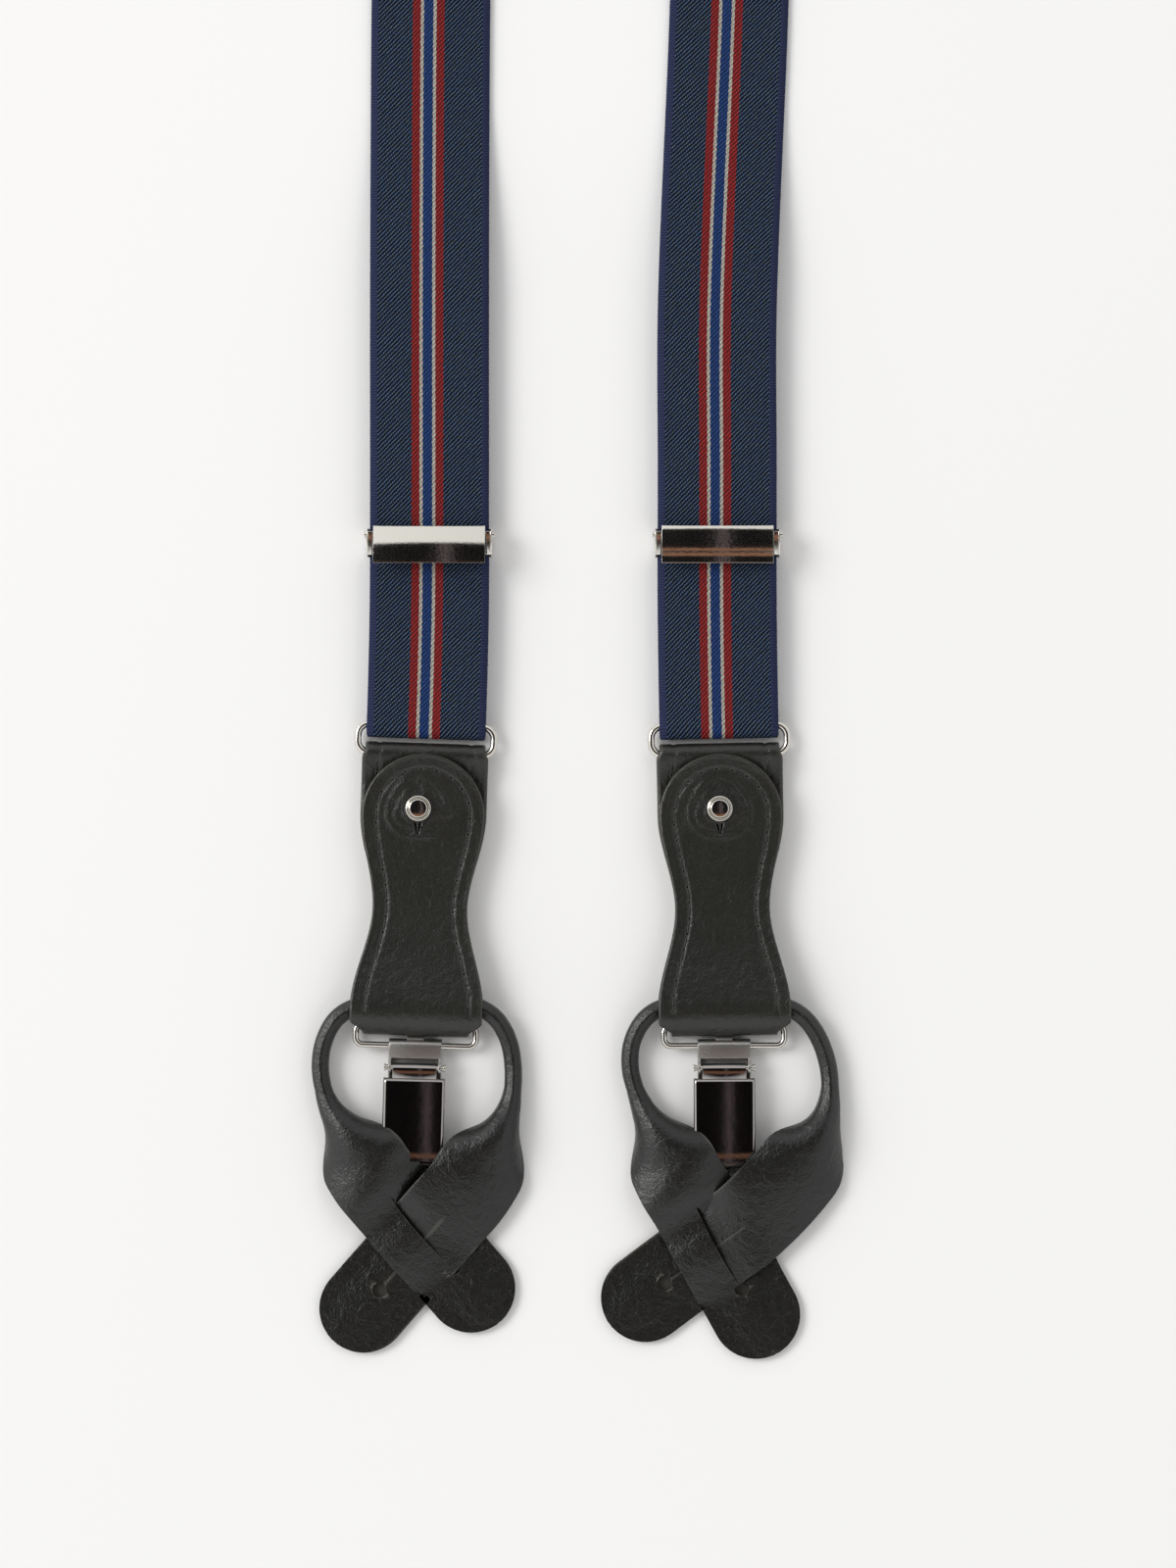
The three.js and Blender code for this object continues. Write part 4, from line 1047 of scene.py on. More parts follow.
class SUSPENDERS_OT_tabs(bpy.types.Operator):
    """Cut, fold and sew the leather tabs"""

    bl_idname = "suspenders.tabs"
    bl_label = "Leather tabs"

    def execute(self, context):
        for end in ENDS:
            place, stud = end_frame(end), STUD_X[end]
            relief = flap_relief(stud)
            flap = strip_mesh(
                f"{end}_flap_leather", flap_route(), flap_half_width, place, relief, columns=64, step=0.6
            )
            hole_through(flap, place, stud, -STUD_AT, 2.55, slits=True)
            start, stop = [place @ (Vector((0, -TAB_LENGTH, z)) * MM) for z in (1.2, 5.2)]
            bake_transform(flap)
            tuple(start)
            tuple(stop)
            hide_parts(f"{end}_tab_flap")

            def back_relief(x, y, face):
                return groove(tab_half_width(y, True) - abs(x)) * (-1 if face == -1 else 1)

            back = strip_mesh(
                f"{end}_back_leather", back_route(), lambda y, z: tab_half_width(
                    y, True
                ), place, back_relief, columns=36
            )
            hole_through(back, place, stud, -STUD_AT, 3.3)
            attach(back, f"{end}_tab")
            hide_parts(f"{end}_tab_back")

            self.sew(end, place, relief)
        return {"FINISHED"}

    @staticmethod
    def sew(end, place, relief):
        route = flap_route()
        inset = STITCH["inset"]
        turn = END_RADIUS - inset
        outline = [(-(flap_half_width(y) - inset), y) for y in range(-79, -22, 4)]
        outline += [(-turn * math.cos(a), -END_CENTRE + turn * math.sin(a)) for a in
                    [math.pi * k / 16 for k in range(17)]]
        outline += [(flap_half_width(y) - inset, y) for y in range(-25, -80, -4)]
        pairs = [flap_point(x, y, route, relief) for x, y in outline]
        stitch_pieces(f"{end}_flap", [([p for p, _ in pairs], [n for _, n in pairs])], place, f"{end}_flap")
        rows = []
        for side in (-1, 1):
            y_list = list(range(-80, -3, 4))
            low = [Vector((side * (tab_half_width(y, True) - inset), y, THREAD_HEIGHT)) for y in y_list]
            rows.append((low, [-UP] * len(low)))
            head = 1.5 * LEATHER + GAP + LEATHER / 2
            up = [
                Vector((side * 14.0, y, head + 0.35 + max(0.0, (y + 10.5) * 0.26)))
                for y in (-12, -10, -8, -6, -4)
            ]
            rows.append((up, [UP] * len(up)))
        stitch_pieces(f"{end}_back", rows, place, f"{end}_tab")


class SUSPENDERS_OT_runners(bpy.types.Operator):
    """Roll, slit and braid the leather runners"""

    bl_idname = "suspenders.runners"
    bl_label = "Runners"

    def execute(self, context):
        for end in ENDS:
            place = runner_frame(end)
            plan = RUNNERS[end]
            parts = [
                runner_side(plan["a"], -1, plan["slit_a"], 1), runner_side(plan["b"], 1, plan["slit_b"], 0)
            ]
            points, faces = joined(parts)
            obj = mesh_object(f"{end}_runner_leather", points, faces, [runner_hide(), hide_edge()], place)
            shape = bmesh.new()
            shape.from_mesh(obj.data)
            bmesh.ops.remove_doubles(shape, verts=shape.verts, dist=0.02 * MM)
            bmesh.ops.recalc_face_normals(shape, faces=shape.faces)
            shape.to_mesh(obj.data)
            shape.free()
            add_modifier(
                obj, "SOLIDIFY", thickness=(LEATHER - 0.1) * MM, offset=0.0, use_even_offset=False,
                use_rim=True, material_offset_rim=1,
            )
            apply_modifiers(obj)
            add_modifier(
                obj, "BEVEL", width=0.1 * MM, segments=2, limit_method="ANGLE", angle_limit=math.radians(55)
            )
            apply_modifiers(obj)
            obj.data.set_sharp_from_angle(angle=math.radians(50))
            start, stop = [place @ (Vector((0, y, CORD_Z)) * MM) for y in (2.5, -8.0)]
            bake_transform(obj)
            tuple(start)
            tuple(stop)
            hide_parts(f"{end}_runner")
            # A thin leather disc lies under each keyhole, so the hole shows dark leather and not the floor.
            discs = [
                lathe([(0, 0.02), (2.5, 0.02), (2.5, 0.3), (0, 0.3)], plan[slit][1], 24)
                for slit in ("slit_a", "slit_b")
            ]
            keyhole_discs = mesh_object(
                f"{end}_runner_keyhole_discs", *joined(discs), [hide_edge()], place, smooth_faces=False
            )
            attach(keyhole_discs, f"{end}_runner")
        return {"FINISHED"}


def runner_side(points, side, slit, braided):
    """The middle surface of one side of a runner: rolled, then opening into a tongue with a keyhole slit."""
    fold = [(side * x, y, z) for x, y, z in FOLD]
    route = Route([*fold, *points])
    half_tongue, hole = TONGUE / 2, KEYHOLE / 2
    slit_low, slit_high = route.nearest(slit[1]), route.nearest(slit[0])
    middle = (slit_low + slit_high) / 2
    columns, rolled_for, flare = 13, 46.0, 26.0
    spots = [0.0]
    while spots[-1] < route.length - 0.3:
        s = spots[-1]
        left = route.length - s
        step = 0.3 if abs(s + 0.3 - slit_low) < hole + 0.4 else 1.0
        spots.append(s + min(step, max(left * 0.16, 0.2)))
    spots[-1] = route.length - 0.04
    rows = []
    for s in spots:
        p, t = route.point(s), route.heading(s, 2.5)
        heading = Vector((t.x, t.y, 0)).normalized()
        across = Vector((heading.y, -heading.x, 0))
        open_by = smooth((s - rolled_for) / flare)
        half = mix(5.1, half_tongue, open_by)
        left = route.length - s
        if left < half_tongue:
            half = min(half, math.sqrt(max(half_tongue**2 - (half_tongue - left) ** 2, 0.04)))
        bend = mix(1 / 1.72, mix(0.034, 0.013, smooth((s - 72) / 16)), open_by**0.5)
        total = half * bend
        lift = (1 - math.sin(total) / total) / bend if total > 1e-4 else 0.0
        off_clip = smooth((s - 68) / 12) if braided else smooth((s - 88) / 14)
        tilt = side * 0.2 * smooth((s - rolled_for) / 20) * (1 - off_clip)
        slit_open = slit_high + 0.5 < s < slit_low + hole
        parted = 0.05 + (0.9 * bump(s - middle, (slit_low - slit_high) / 2 + 1) ** 0.5 if braided else 0.0)
        punched = math.sqrt(max(hole**2 - (s - slit_low) ** 2, 0.0))
        row = []
        for part in (-1, 1):
            raised = (2.6 if part * side < 0 else -2.5) * bump(s - middle, 17) if braided else 0.0
            order = range(columns, -1, -1) if part < 0 else range(columns + 1)
            for k in order:
                c = mix(k / columns, smooth(k / columns), 0.85)
                angle = c * half * bend
                x, z = math.sin(angle) / bend, lift - (1 - math.cos(angle)) / bend
                ridge = 0.13 * math.cos(6.0 * angle + 0.8 * part) * (1 - open_by)
                x, z = x + ridge * math.sin(angle), z + ridge * math.cos(angle)
                if slit_open:
                    x += parted * (1 - c * 0.8) if s < slit_low else 0.0
                    if open_by > 0.5:
                        x = max(x, punched + 0.03 * k)
                z += raised * (1 if slit_open else smooth(c * 2)) + tilt * x * part
                point = Vector((p.x, p.y, p.z + z)) + across * x * part
                point.z = max(point.z, LEATHER / 2)
                row.append(point)
        rows.append(row)
    width, half_count = 2 * columns + 2, columns + 1
    faces = []
    for i in range(len(rows) - 1):
        for k in range(width - 1):
            if k != half_count - 1:
                a = i * width + k
                faces.append((a, a + 1, a + width + 1, a + width))
    return [p for row in rows for p in row], faces


# ---------- metal ----------
def wire_loop(ring, z, y=0.0):
    """A bent wire loop with its ends butted on the upper bar."""
    wire, corner = ring["wire"], ring["corner"]
    top, side = (ring["height"] - wire) / 2, (ring["width"] - wire) / 2
    path = [Vector((-0.12, top, 0))]
    steps = 10
    for cx, cy, first in ((-1, 1, 90), (-1, -1, 180), (1, -1, 270), (1, 1, 360)):
        for k in range(steps + 1):
            a = math.radians(first + 90 * k / steps)
            path.append(
                Vector(
                    (
                        cx * (side - corner) + corner * math.cos(a),
                        cy * (top - corner) + corner * math.sin(a),
                        0,
                    )
                )
            )
    path.append(Vector((0.12, top, 0)))
    return sweep([p + Vector((0, y, z)) for p in path], wire / 2, sides=18)


class SUSPENDERS_OT_rings(bpy.types.Operator):
    """Bend the wire rings"""

    bl_idname = "suspenders.rings"
    bl_label = "Wire rings"

    def execute(self, context):
        for end in ENDS:
            ring = wire_loop(STRAP_RING, RING_Z)
            metal_piece(
                f"{end}_strap_ring_wire", [ring], bright_nickel(), end_frame(end), f"{end}_ring",
                [f"{end}_strap_ring"], bevel=0,
            )
            link = wire_loop(CLIP_RING, LINK_Z, -LINK_DEPTH / 2)
            metal_piece(
                f"{end}_clip_ring_wire", [link], bright_nickel(), hinge_frame(f"{end}_clip_link_swing", 1),
                f"{end}_clip_link", [f"{end}_clip_ring"], bevel=0,
            )
        return {"FINISHED"}


class SUSPENDERS_OT_studs(bpy.types.Operator):
    """Turn the ball studs and their screws"""

    bl_idname = "suspenders.studs"
    bl_label = "Studs"

    def execute(self, context):
        for end in ENDS:
            base = 2 * LEATHER + GAP + 0.1
            top = FLAP_Z + LEATHER / 2 + 0.75
            profile = [
                (0, base), (4.5, base), (4.5, base + 0.8), (2.2, base + 0.8), (2.2, top), (3.3, top + 0.15)
            ]
            profile += [(3.3 + 0.45 * math.cos(a), top + 0.65 + 0.45 * math.sin(a)) for a in
                        [math.radians(k) for k in range(-80, 151, 23)]]
            profile += [(2.85, top + 0.55), (2.75, top + 0.9)]
            profile += [(2.3 + 0.45 * math.cos(a), top + 1.35 + 0.45 * math.sin(a)) for a in
                        [math.radians(k) for k in range(0, 85, 12)]]
            profile += [(1.3, top + 1.86), (0, top + 1.9)]
            centre = (STUD_X[end], -STUD_AT)
            screw = lathe(
                [(0, 0.15), (3.0, 0.15), (3.2, 0.35), (3.2, 0.95), (1.3, 1.0), (1.3, base), (0, base)], centre
            )
            metal_piece(
                f"{end}_stud_button", [
                    lathe(profile, centre, 48)
                ], bright_nickel(), end_frame(end), f"{end}_tab",
                [f"{end}_stud"], bevel=0,
            )
            metal_piece(
                f"{end}_stud_rivet", [screw], bright_nickel(), end_frame(end), f"{end}_tab",
                [f"{end}_stud_screw"], bevel=0.08,
            )
        return {"FINISHED"}


def clip_outline_points():
    """The loop's radius, the height of the base plate, and the loop's side view."""
    roll = 1.65
    base = LINK_Z - roll
    turn = [(math.cos(a) * roll, LINK_Z + math.sin(a) * roll) for a in
            [-math.pi / 2 + math.pi * k / 12 for k in range(13)]]
    return roll, base, turn


def ear_outline(base, pin_y, pin_z):
    """Side view of the clip's ear, round its pin."""
    low = base - 0.3
    outline = [(-2.2, low), (-2.2, LINK_Z + 1.9), (-3.4, LINK_Z + 1.9)]
    outline += [(pin_y + 1.65 * math.cos(a), pin_z + 1.65 * math.sin(a)) for a in
                [math.radians(k) for k in range(40, 201, 16)]]
    return [*outline, (pin_y - 3.6, low + 1.6), (pin_y - 5.6, low)]


class SUSPENDERS_OT_clips(bpy.types.Operator):
    """Press the flip clips' base, jaw, cover, pin and liners"""

    bl_idname = "suspenders.clips"
    bl_label = "Flip clips"

    def execute(self, context):
        roll, base, turn = clip_outline_points()
        pin_y, pin_z, mouth, width = -6.3, LINK_Z + 2.1, 35.6, 15.3
        sheet = 0.8
        for end in ENDS:
            place = hinge_frame(f"{end}_clip_swing", 1)
            plate = bent_plate(
                [(-mouth, base - 0.15), (-mouth + 1.2, base - 0.85), (-mouth + 9, base - 0.85),
                 (-mouth + 11.5, base),
                 (0, base)], sheet, -width / 2, width / 2)
            curl = bent_plate([*turn, (pin_y + 2.7, LINK_Z + roll)], sheet, -width / 2, width / 2, 0.3)
            ears = [
                side_plate(ear_outline(base, pin_y, pin_z), x, x + sheet)
                for x in (-width / 2, width / 2 - sheet)
            ]
            neck = bent_plate(
                [(1.9, LINK_Z + 1.2), (3.0, LINK_Z + 0.2), (3.1, LINK_Z - 0.6)], 0.6, -2.4, 2.4, 0.4
            )
            metal_piece(
                f"{end}_clip_housing", [plate, curl, *ears, neck], stamped_nickel(), place, f"{end}_clip",
                [f"{end}_clip_base"],
            )
            z = base + sheet + GAP
            tongue = bent_plate(
                [
                    (-roll - 0.4, z),
                    (-mouth + 11.5, z),
                    (-mouth + 9, z + 0.75),
                    (-mouth + 0.9, z + 0.75),
                    (-mouth, z + 0.2),
                ],
                sheet, -6.4, 6.4)
            lip = bent_plate(
                [(-mouth + 8, z + 0.75), (-mouth + 0.9, z + 0.75), (-mouth, z + 0.1)],
                sheet,
                -width / 2,
                width / 2,
            )
            metal_piece(
                f"{end}_clip_jaw_plate", [tongue, lip], stamped_nickel(), place, f"{end}_jaw",
                [f"{end}_clip_jaw"],
            )
            self.liners(end, place, base, z, mouth, width)
            self.cover(end, place, pin_y, pin_z)
            head = [(1.05, -8.95), (1.05, -8.45), (0.75, -8.35), (0.75, 8.35), (1.05, 8.45), (1.05, 8.95)]
            path = [Vector((x, pin_y, pin_z)) for _, x in head]
            rod = sweep(path, 0.75, sides=24, radii=[r for r, _ in head])
            metal_piece(
                f"{end}_clip_pivot", [rod], bright_nickel(), place, f"{end}_clip", [f"{end}_clip_pin"],
                bevel=0.06,
            )
        return {"FINISHED"}

    @staticmethod
    def liners(end, place, base, z, mouth, width):
        """Ribbed liners on the two gripping faces."""
        for name, node, body, face, depth in (
            ("back_liner", "pad_back", "clip", base - 0.43, 0.75),
            ("front_liner", "pad_front", "jaw", z + 0.33, -0.75),
        ):
            low = -mouth + 1.9
            outline = [(low, face), (low, face + depth * 0.8)]
            for k in range(11):
                outline.append((low + 0.5 * k + 0.12, face + depth))
                outline.append((low + 0.5 * k + 0.37, face + depth * 0.72))
            outline += [(low + 5.5, face + depth * 0.8), (low + 5.5, face)]
            metal_piece(
                f"{end}_clip_{name}", [
                    side_plate(outline, -width / 2 + 0.6, width / 2 - 0.6)
                ], moulded_liner(), place,
                f"{end}_{body}", [f"{end}_clip_{node}"], bevel=0.05,
            )

    @staticmethod
    def cover(end, place, pin_y, pin_z):
        """The lever: a crowned cover plate with turned-down sides, rolled at the top."""
        top, half, first, last = pin_z + 1.85, 9.15, -9.3, -33.4
        rows, columns = [], 40
        spots = [first - k * 0.35 for k in range(10)] + [first - 3.5 - k for k in range(19)]
        spots += [last + 3.0 - k * 0.25 for k in range(12)] + [last]
        spots = sorted(set(spots), reverse=True)
        for y in spots:
            from_top, from_end = first - y, y - last
            roll = -0.95 * (1 - math.sqrt(max(1 - (1 - min(from_top / 1.3, 1)) ** 2, 0)))
            dip = -0.12 * smooth(1 - from_end / 3.2)
            w = half - 0.15 - max(0.0, 2.4 - from_end) * 0.85
            row = []
            for k in range(columns + 1):
                c = -1 + 2 * k / columns
                x = w * math.sin(c * math.pi / 2) if abs(c) < 1 else w * c
                crown = 0.42 * (1 - (x / half) ** 2)
                side = 1 - math.sqrt(max(1 - max((abs(x) - (w - 0.9)) / 0.9, 0) ** 2, 0))
                row.append(Vector((x, y, top - 0.35 + crown + roll + dip - 0.9 * side)))
            flange = [Vector((s * w, y, top - 2.2 + dip * 0.5)) for s in (-1, 1)]
            rows.append([flange[0], *row, flange[1]])
        points = [p for row in rows for p in row]
        count = len(rows[0])
        faces = [(i * count + k, i * count + k + 1, (i + 1) * count + k + 1, (i + 1) * count + k)
                 for i in range(len(rows) - 1) for k in range(count - 1)]
        obj = mesh_object(f"{end}_clip_cover", points, faces, [dark_nickel()], place)
        add_modifier(
            obj, "SOLIDIFY", thickness=0.65 * MM, offset=-1.0 if obj.data.polygons[200].normal.z > 0 else 1.0
        )
        apply_modifiers(obj)
        cam_outline = [(pin_y + 1.25, pin_z + 0.3)]
        cam_outline += [(pin_y + 1.5 * math.cos(a), pin_z - 0.25 + 1.55 * math.sin(a)) for a in
                        [math.radians(k) for k in range(-20, -100, -16)]]
        cam_outline += [(pin_y - 1.2, pin_z - 1.6), (pin_y - 3.4, pin_z + 0.5), (pin_y - 3.6, pin_z + 1.0),
                        (pin_y, pin_z + 1.3)]
        cam = mesh_object("cam", *side_plate(cam_outline, -6.4, 6.4), [dark_nickel()], place)
        add_modifier(cam, "BEVEL", width=0.15 * MM, segments=2, limit_method="ANGLE")
        apply_modifiers(cam)
        with bpy.context.temp_override(active_object=obj, selected_editable_objects=[obj, cam], object=obj):
            bpy.ops.object.join()
        obj.data.set_sharp_from_angle(angle=math.radians(40))
        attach(obj, f"{end}_lever")
        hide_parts(f"{end}_clip_lever")


class SUSPENDERS_OT_adjusters(bpy.types.Operator):
    """Press the strap adjusters' frame, lever and pin"""

    bl_idname = "suspenders.adjusters"
    bl_label = "Adjusters"

    def execute(self, context):
        inner = context.scene.suspenders_webbing.width + 0.6
        outer = inner + 1.2
        for end in FRONTS:
            place = adjuster_frame(end)
            bars = [
                bent_plate([(y - 0.8, SLEEVE_Z), (y + 0.8, SLEEVE_Z)], 0.7, -outer / 2, outer / 2)
                for y in (-3.5, 3.5)
            ]
            low, high = SLEEVE_Z - 0.35, PIVOT_Z + 1.3
            ear = [(-4.3, low), (4.3, low), (4.3, low + 2.5), (3.9, high - 1.0), (3.0, high), (1.0, high),
                   (-3.4, high - 1.6), (-4.3, high - 3.2)]
            ears = [side_plate(ear, x, x + 0.6) for x in (-outer / 2, outer / 2 - 0.6)]
            lip = [(-3.6, high - 1.75), (3.2, high - 0.3), (3.2, high - 0.75), (-3.6, high - 2.2)]
            ears += [side_plate(lip, x, x + 1.85) for x in (-outer / 2 + 0.05, outer / 2 - 1.9)]
            metal_piece(
                f"{end}_adjuster_body", [*bars, *ears], bright_nickel(), place, f"{end}_adjuster",
                [f"{end}_adjuster_frame"], bevel=0.2,
            )
            head = [(0.85, -outer / 2 - 0.65), (0.85, -outer / 2 - 0.1), (0.6, -outer / 2), (0.6, outer / 2),
                    (0.85, outer / 2 + 0.1), (0.85, outer / 2 + 0.65)]
            path = [Vector((x, PIVOT_ABOVE, PIVOT_Z)) for _, x in head]
            metal_piece(
                f"{end}_adjuster_pivot", [
                    sweep(path, 0.6, sides=24, radii=[r for r, _ in head])
                ], bright_nickel(),
                place, f"{end}_adjuster", [f"{end}_adjuster_pin"], bevel=0.06,
            )
            self.lever(end, place)
        return {"FINISHED"}

    @staticmethod
    def lever(end, place):
        """A plate rolled into a shallow arch, its top edge curled into a lip, its lower edge turned out."""
        y0, z0 = PIVOT_ABOVE, PIVOT_Z
        if end == "left":
            arch = [(1.6, -0.6), (2.1, -0.3), (2.4, 0.25), (2.15, 0.8), (1.2, 1.2), (-0.6, 1.85), (-2.3, 2.4),
                    (-3.6, 2.62), (-5.4, 2.68), (-7.2, 2.66), (-8.2, 2.6)]
        else:
            arch = [(1.6, -0.6), (2.1, -0.3), (2.45, 0.4), (2.35, 1.05), (1.8, 1.38), (-0.6, 1.6),
                    (-2.6, 1.62),
                    (-4.2, 1.5), (-5.4, 1.3), (-6.4, 1.17), (-8.2, 1.12)]
        curve = Route([(y0 + y, z0 + z, 0) for y, z in arch], 5)
        line = [(p.x, p.y) for p in curve.points]
        plate = bent_plate(line, 0.7, -16.2, 16.2, 0.05)
        teeth = []
        for k in range(18):
            x = -14.4 + k * 1.6
            tooth = [(y0 + 0.9, z0 + 1.0), (y0 - 0.9, z0 + 0.9), (y0 - 0.5, z0 - 1.75), (y0 + 0.1, z0 - 1.85)]
            teeth.append(side_plate(tooth, x, x + 1.1))
        barrel = sweep([Vector((x, y0, z0)) for x in (-15.2, 15.2)], 1.15, sides=24)
        metal_piece(
            f"{end}_adjuster_cam_lever", [
                plate, barrel, *teeth
            ], bright_nickel(), place, f"{end}_adjuster_lever",
            [f"{end}_adjuster_lever"], bevel=0.08,
        )


# ---------- back patch ----------
def patch_outline(inset=0.0):
    """The Y-shaped outline, brought in by inset, as a list of (x, y)."""
    low, high, arms, stem = PATCH[
        "from"
    ] + inset, PATCH["to"] - inset, PATCH["arms"] - inset, PATCH["stem"] - inset
    right = [(0, low + 5.5), (0.8, low + 2.2), (3.0, low + 0.4), (6, low), (arms - 4, low),
             (arms - 1.0, low + 0.6),
             (arms, low + 2.2), (arms - 0.6, low + 4.5)]
    a, b, c, d = [
        Vector(p)
        for p in ((arms - 0.6, low + 4.5), (arms - 7, low + 32), (stem + 1, low + 42), (stem, high - 4))
    ]
    for k in range(1, 15):
        t = k / 14
        p = a * (1 - t) ** 3 + b * 3 * t * (1 - t) ** 2 + c * 3 * t * t * (1 - t) + d * t**3
        right.append((p.x, p.y))
    right += [(stem - 0.6, high - 1.4), (stem - 1.8, high - 0.3), (stem - 4, high)]
    return right + [(-x, y) for x, y in reversed(right[1:])]


class SUSPENDERS_OT_patch(bpy.types.Operator):
    """Cut and sew the back patch"""

    bl_idname = "suspenders.patch"
    bl_label = "Back patch"

    def execute(self, context):
        shift = plan_shift() + Vector((PATCH["x"], 0, 0))
        outline = patch_outline()
        for name, low, node in (
            ("patch_front_leather", PATCH["top"], "patch_front"), ("patch_back_leather", 0.0, "patch_back")
        ):
            rim = [Vector((x, y, 0)) + shift for x, y in outline]
            mesh = bmesh.new()
            verts = [mesh.verts.new(p * MM) for p in rim]
            face = mesh.faces.new(verts)
            mesh.normal_update()
            if face.normal.z < 0:
                face.normal_flip()
            data = bpy.data.meshes.new(name)
            mesh.to_mesh(data)
            mesh.free()
            data.materials.append(hide_face())
            data.materials.append(hide_edge())
            obj = bpy.data.objects.new(name, data)
            obj.location.z = low * MM
            context.scene.collection.objects.link(obj)
            add_modifier(obj, "SOLIDIFY", thickness=PATCH["thick"] * MM, offset=1.0, material_offset_rim=1)
            add_modifier(
                obj, "BEVEL", width=0.35 * MM, segments=3, limit_method="ANGLE", angle_limit=math.radians(60)
            )
            apply_modifiers(obj)
            obj.data.polygons.foreach_set("use_smooth", [True] * len(obj.data.polygons))
            obj.data.set_sharp_from_angle(angle=math.radians(30))
            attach(obj, "straps")
            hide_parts(node)
        seam = patch_outline(3.4)
        top = PATCH["top"] + PATCH["thick"]
        upper = [Vector((x, y, top)) + shift for x, y in seam]
        lower = [Vector((x, y, THREAD_HEIGHT)) + shift for x, y in seam]
        rows = [([*upper, upper[0]], [UP] * (len(upper) + 1)), ([*lower, lower[0]], [-UP] * (len(lower) + 1))]
        stitch_pieces("patch", rows, Matrix.Identity(4), "straps")
        return {"FINISHED"}


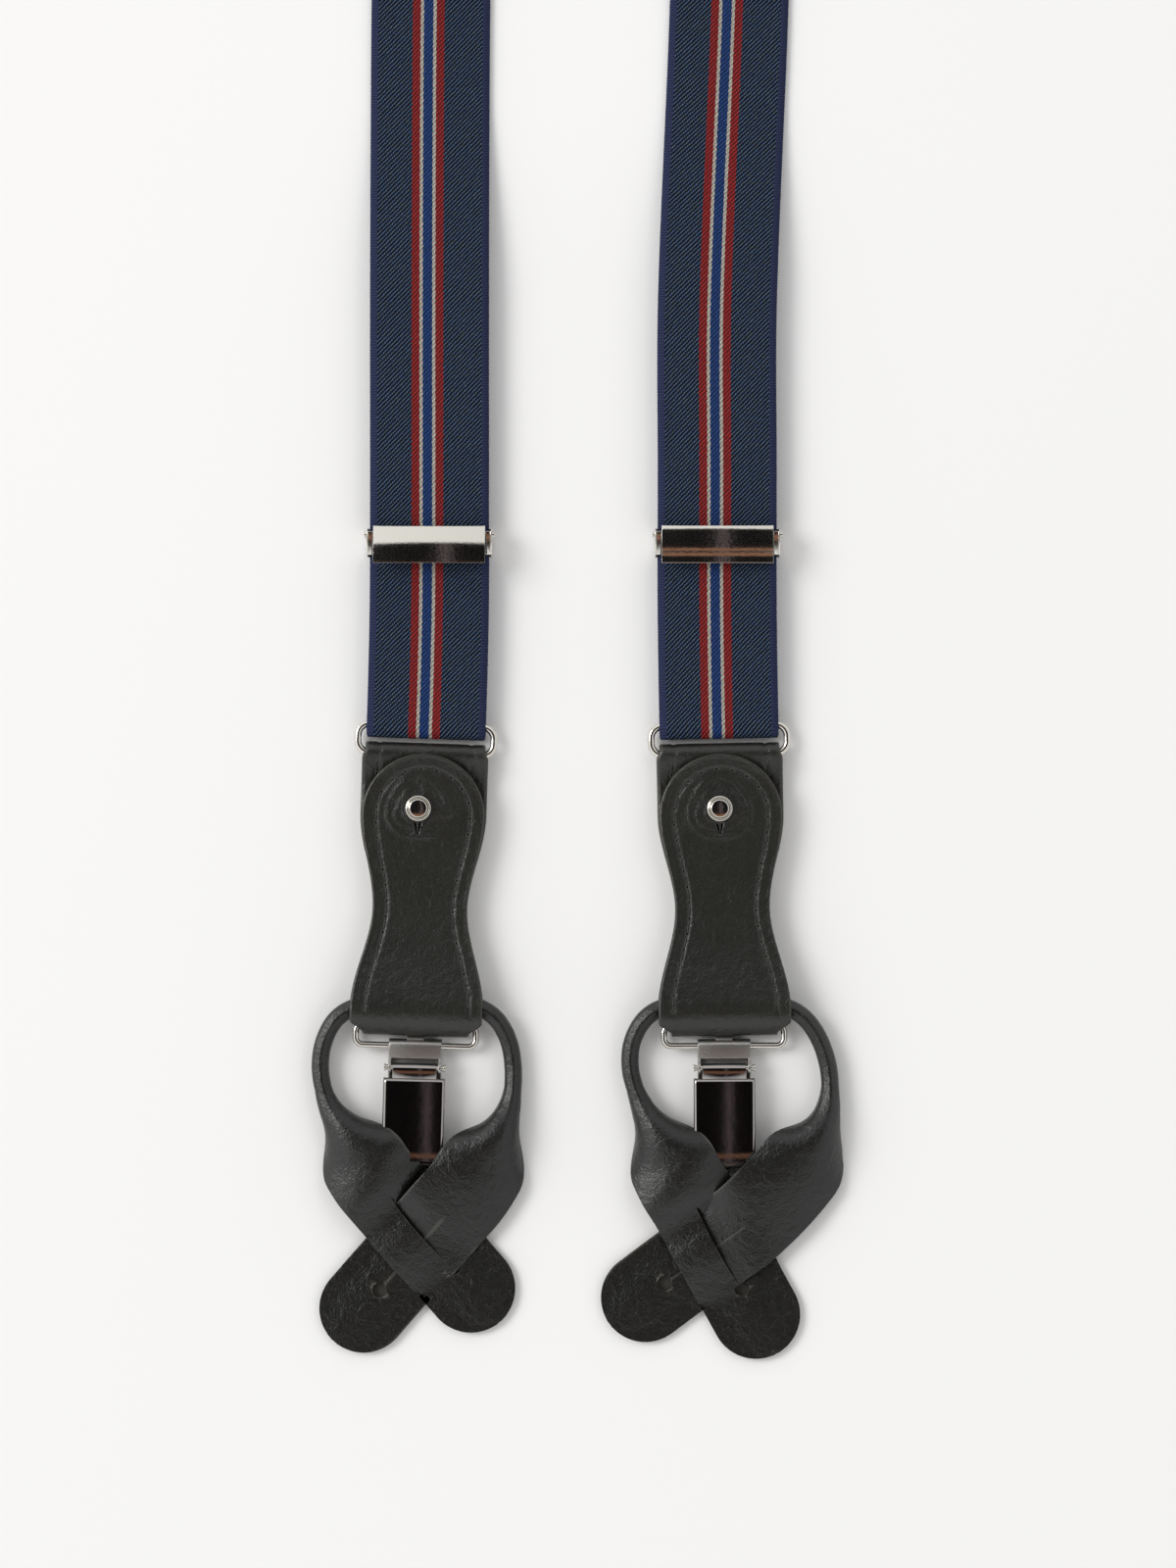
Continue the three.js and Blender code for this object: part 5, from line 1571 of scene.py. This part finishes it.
# ---------- stage ----------
class SUSPENDERS_OT_stage(bpy.types.Operator):
    """Lay the pale floor, hang the lights and set the camera straight above the front ends"""

    bl_idname = "suspenders.stage"
    bl_label = "Stage"

    def execute(self, context):
        scene = context.scene
        scene.view_settings.view_transform = "Standard"
        left, right = end_frame("left").translation, end_frame("right").translation
        centre = (left + right) / 2 + Vector((4.5, -12.9, 0)) * MM
        self.floor(centre)
        self.tent(scene)
        light = bpy.data.lights.new("softbox", "AREA")
        light.shape = "DISK"
        light.size = 2.4
        light.energy = 100.0
        light.color = (1.0, 0.995, 0.98)
        at = Vector((-3.6, 1.2, 3.1))
        lamp = bpy.data.objects.new("softbox", light)
        lamp.location = centre + at
        lamp.rotation_euler = (-at).to_track_quat("-Z", "Y").to_euler()
        scene.collection.objects.link(lamp)
        distance, seen = 1.6, 0.4571
        camera = bpy.data.cameras.new("camera")
        camera.sensor_width = 36.0
        camera.lens = 36.0 * distance / seen
        eye = bpy.data.objects.new("camera", camera)
        eye.location = centre + Vector((0, 0, distance))
        scene.collection.objects.link(eye)
        scene.camera = eye
        return {"FINISHED"}

    @staticmethod
    def floor(centre):
        """Matt white card."""
        size = 6.0
        corners = [centre + Vector((x, y, 0)) * size for x, y in ((-1, -1), (1, -1), (1, 1), (-1, 1))]
        card = bpy.data.meshes.new("floor")
        card.from_pydata([(p.x, p.y, -0.0001) for p in corners], [], [(0, 1, 2, 3)])
        material, tree, shader = new_material("white_card", **{"Roughness": 0.95, "Specular IOR Level": 0.1})
        where = add(tree, "TexCoord", out=3)
        mottle = add(tree, "TexNoise", {"Vector": where, "Scale": 1 / (333 * MM), "Detail": 2.0})
        tints = {0: mottle, 6: linear("#f7f7f6"), 7: linear("#f9f9f9")}
        add(tree, "Mix", tints, out=2, to=shader.inputs["Base Color"], data_type="RGBA")
        card.materials.append(material)
        floor = bpy.data.objects.new("floor", card)
        bpy.context.scene.collection.objects.link(floor)

    @staticmethod
    def tent(scene):
        """A white light tent, its dark top opening crossed by a wooden beam and a strip of light."""
        world = bpy.data.worlds.new("light_tent")
        world.use_nodes = True
        scene.world = world
        tree = world.node_tree
        way = add(tree, "TexCoord", out=0)
        xyz = add(tree, "SeparateXYZ", {0: way})
        x, y, z = xyz, xyz.node.outputs[1], xyz.node.outputs[2]
        opening = add(tree, "MapRange", {0: z, 1: 0.84, 2: 0.91, 3: 0.0, 4: 1.0})
        height = add(tree, "Math", (z, 0.01), operation="MAXIMUM")
        across = add(tree, "Math", (x, height), operation="DIVIDE")
        strip = add(tree, "Math", (across, 0.05, 0.016), operation="COMPARE")
        tints = {0: strip, 6: linear("#0b0b0c"), 7: linear("#776c70")}
        dark = add(tree, "Mix", tints, out=2, data_type="RGBA")
        along = add(tree, "Math", (y, height), operation="DIVIDE")
        beam = add(tree, "Math", (along, -0.24, 0.07), operation="COMPARE")
        dark = add(tree, "Mix", {0: beam, 6: dark, 7: linear("#8a6450")}, out=2, data_type="RGBA")
        low = add(tree, "MapRange", {0: x, 1: -0.9, 2: 0.9, 3: 1.0, 4: 0.72})
        wall = add(tree, "Mix", {0: low, 6: linear("#000000"), 7: linear("#ffffff")}, out=2, data_type="RGBA")
        shade = add(tree, "Mix", {0: opening, 6: wall, 7: dark}, out=2, data_type="RGBA")
        back = tree.nodes["Background"]
        tree.links.new(shade, back.inputs[0])
        back.inputs[1].default_value = 1.1


class SUSPENDERS_PT_panel(bpy.types.Panel):
    """Sizes, colours and one button for each group of pieces."""

    bl_label = "Suspenders"
    bl_idname = "SUSPENDERS_PT_panel"
    bl_space_type = "VIEW_3D"
    bl_region_type = "UI"
    bl_category = "Suspenders"

    def draw(self, context):
        for group in (context.scene.suspenders_webbing, context.scene.suspenders_leather):
            for key in group.bl_rna.properties.keys():
                if key not in ("rna_type", "name"):
                    self.layout.prop(group, key)
        for operator in OPERATORS:
            self.layout.operator(operator.bl_idname)


OPERATORS = (
    SUSPENDERS_OT_stage,
    SUSPENDERS_OT_straps,
    SUSPENDERS_OT_returns,
    SUSPENDERS_OT_rings,
    SUSPENDERS_OT_tabs,
    SUSPENDERS_OT_studs,
    SUSPENDERS_OT_clips,
    SUSPENDERS_OT_adjusters,
    SUSPENDERS_OT_runners,
    SUSPENDERS_OT_patch,
)
CLASSES = (SuspendersWebbing, SuspendersLeather, *OPERATORS, SUSPENDERS_PT_panel)


def register():
    for cls in CLASSES:
        bpy.utils.register_class(cls)
    bpy.types.Scene.suspenders_webbing = bpy.props.PointerProperty(type=SuspendersWebbing)
    bpy.types.Scene.suspenders_leather = bpy.props.PointerProperty(type=SuspendersLeather)


def unregister():
    del bpy.types.Scene.suspenders_leather
    del bpy.types.Scene.suspenders_webbing
    for cls in reversed(CLASSES):
        bpy.utils.unregister_class(cls)


def main():
    register()
    for operator in OPERATORS:
        group, name = operator.bl_idname.split(".")
        getattr(getattr(bpy.ops, group), name)()
    bpy.context.view_layer.update()


if __name__ == "__main__":
    main()
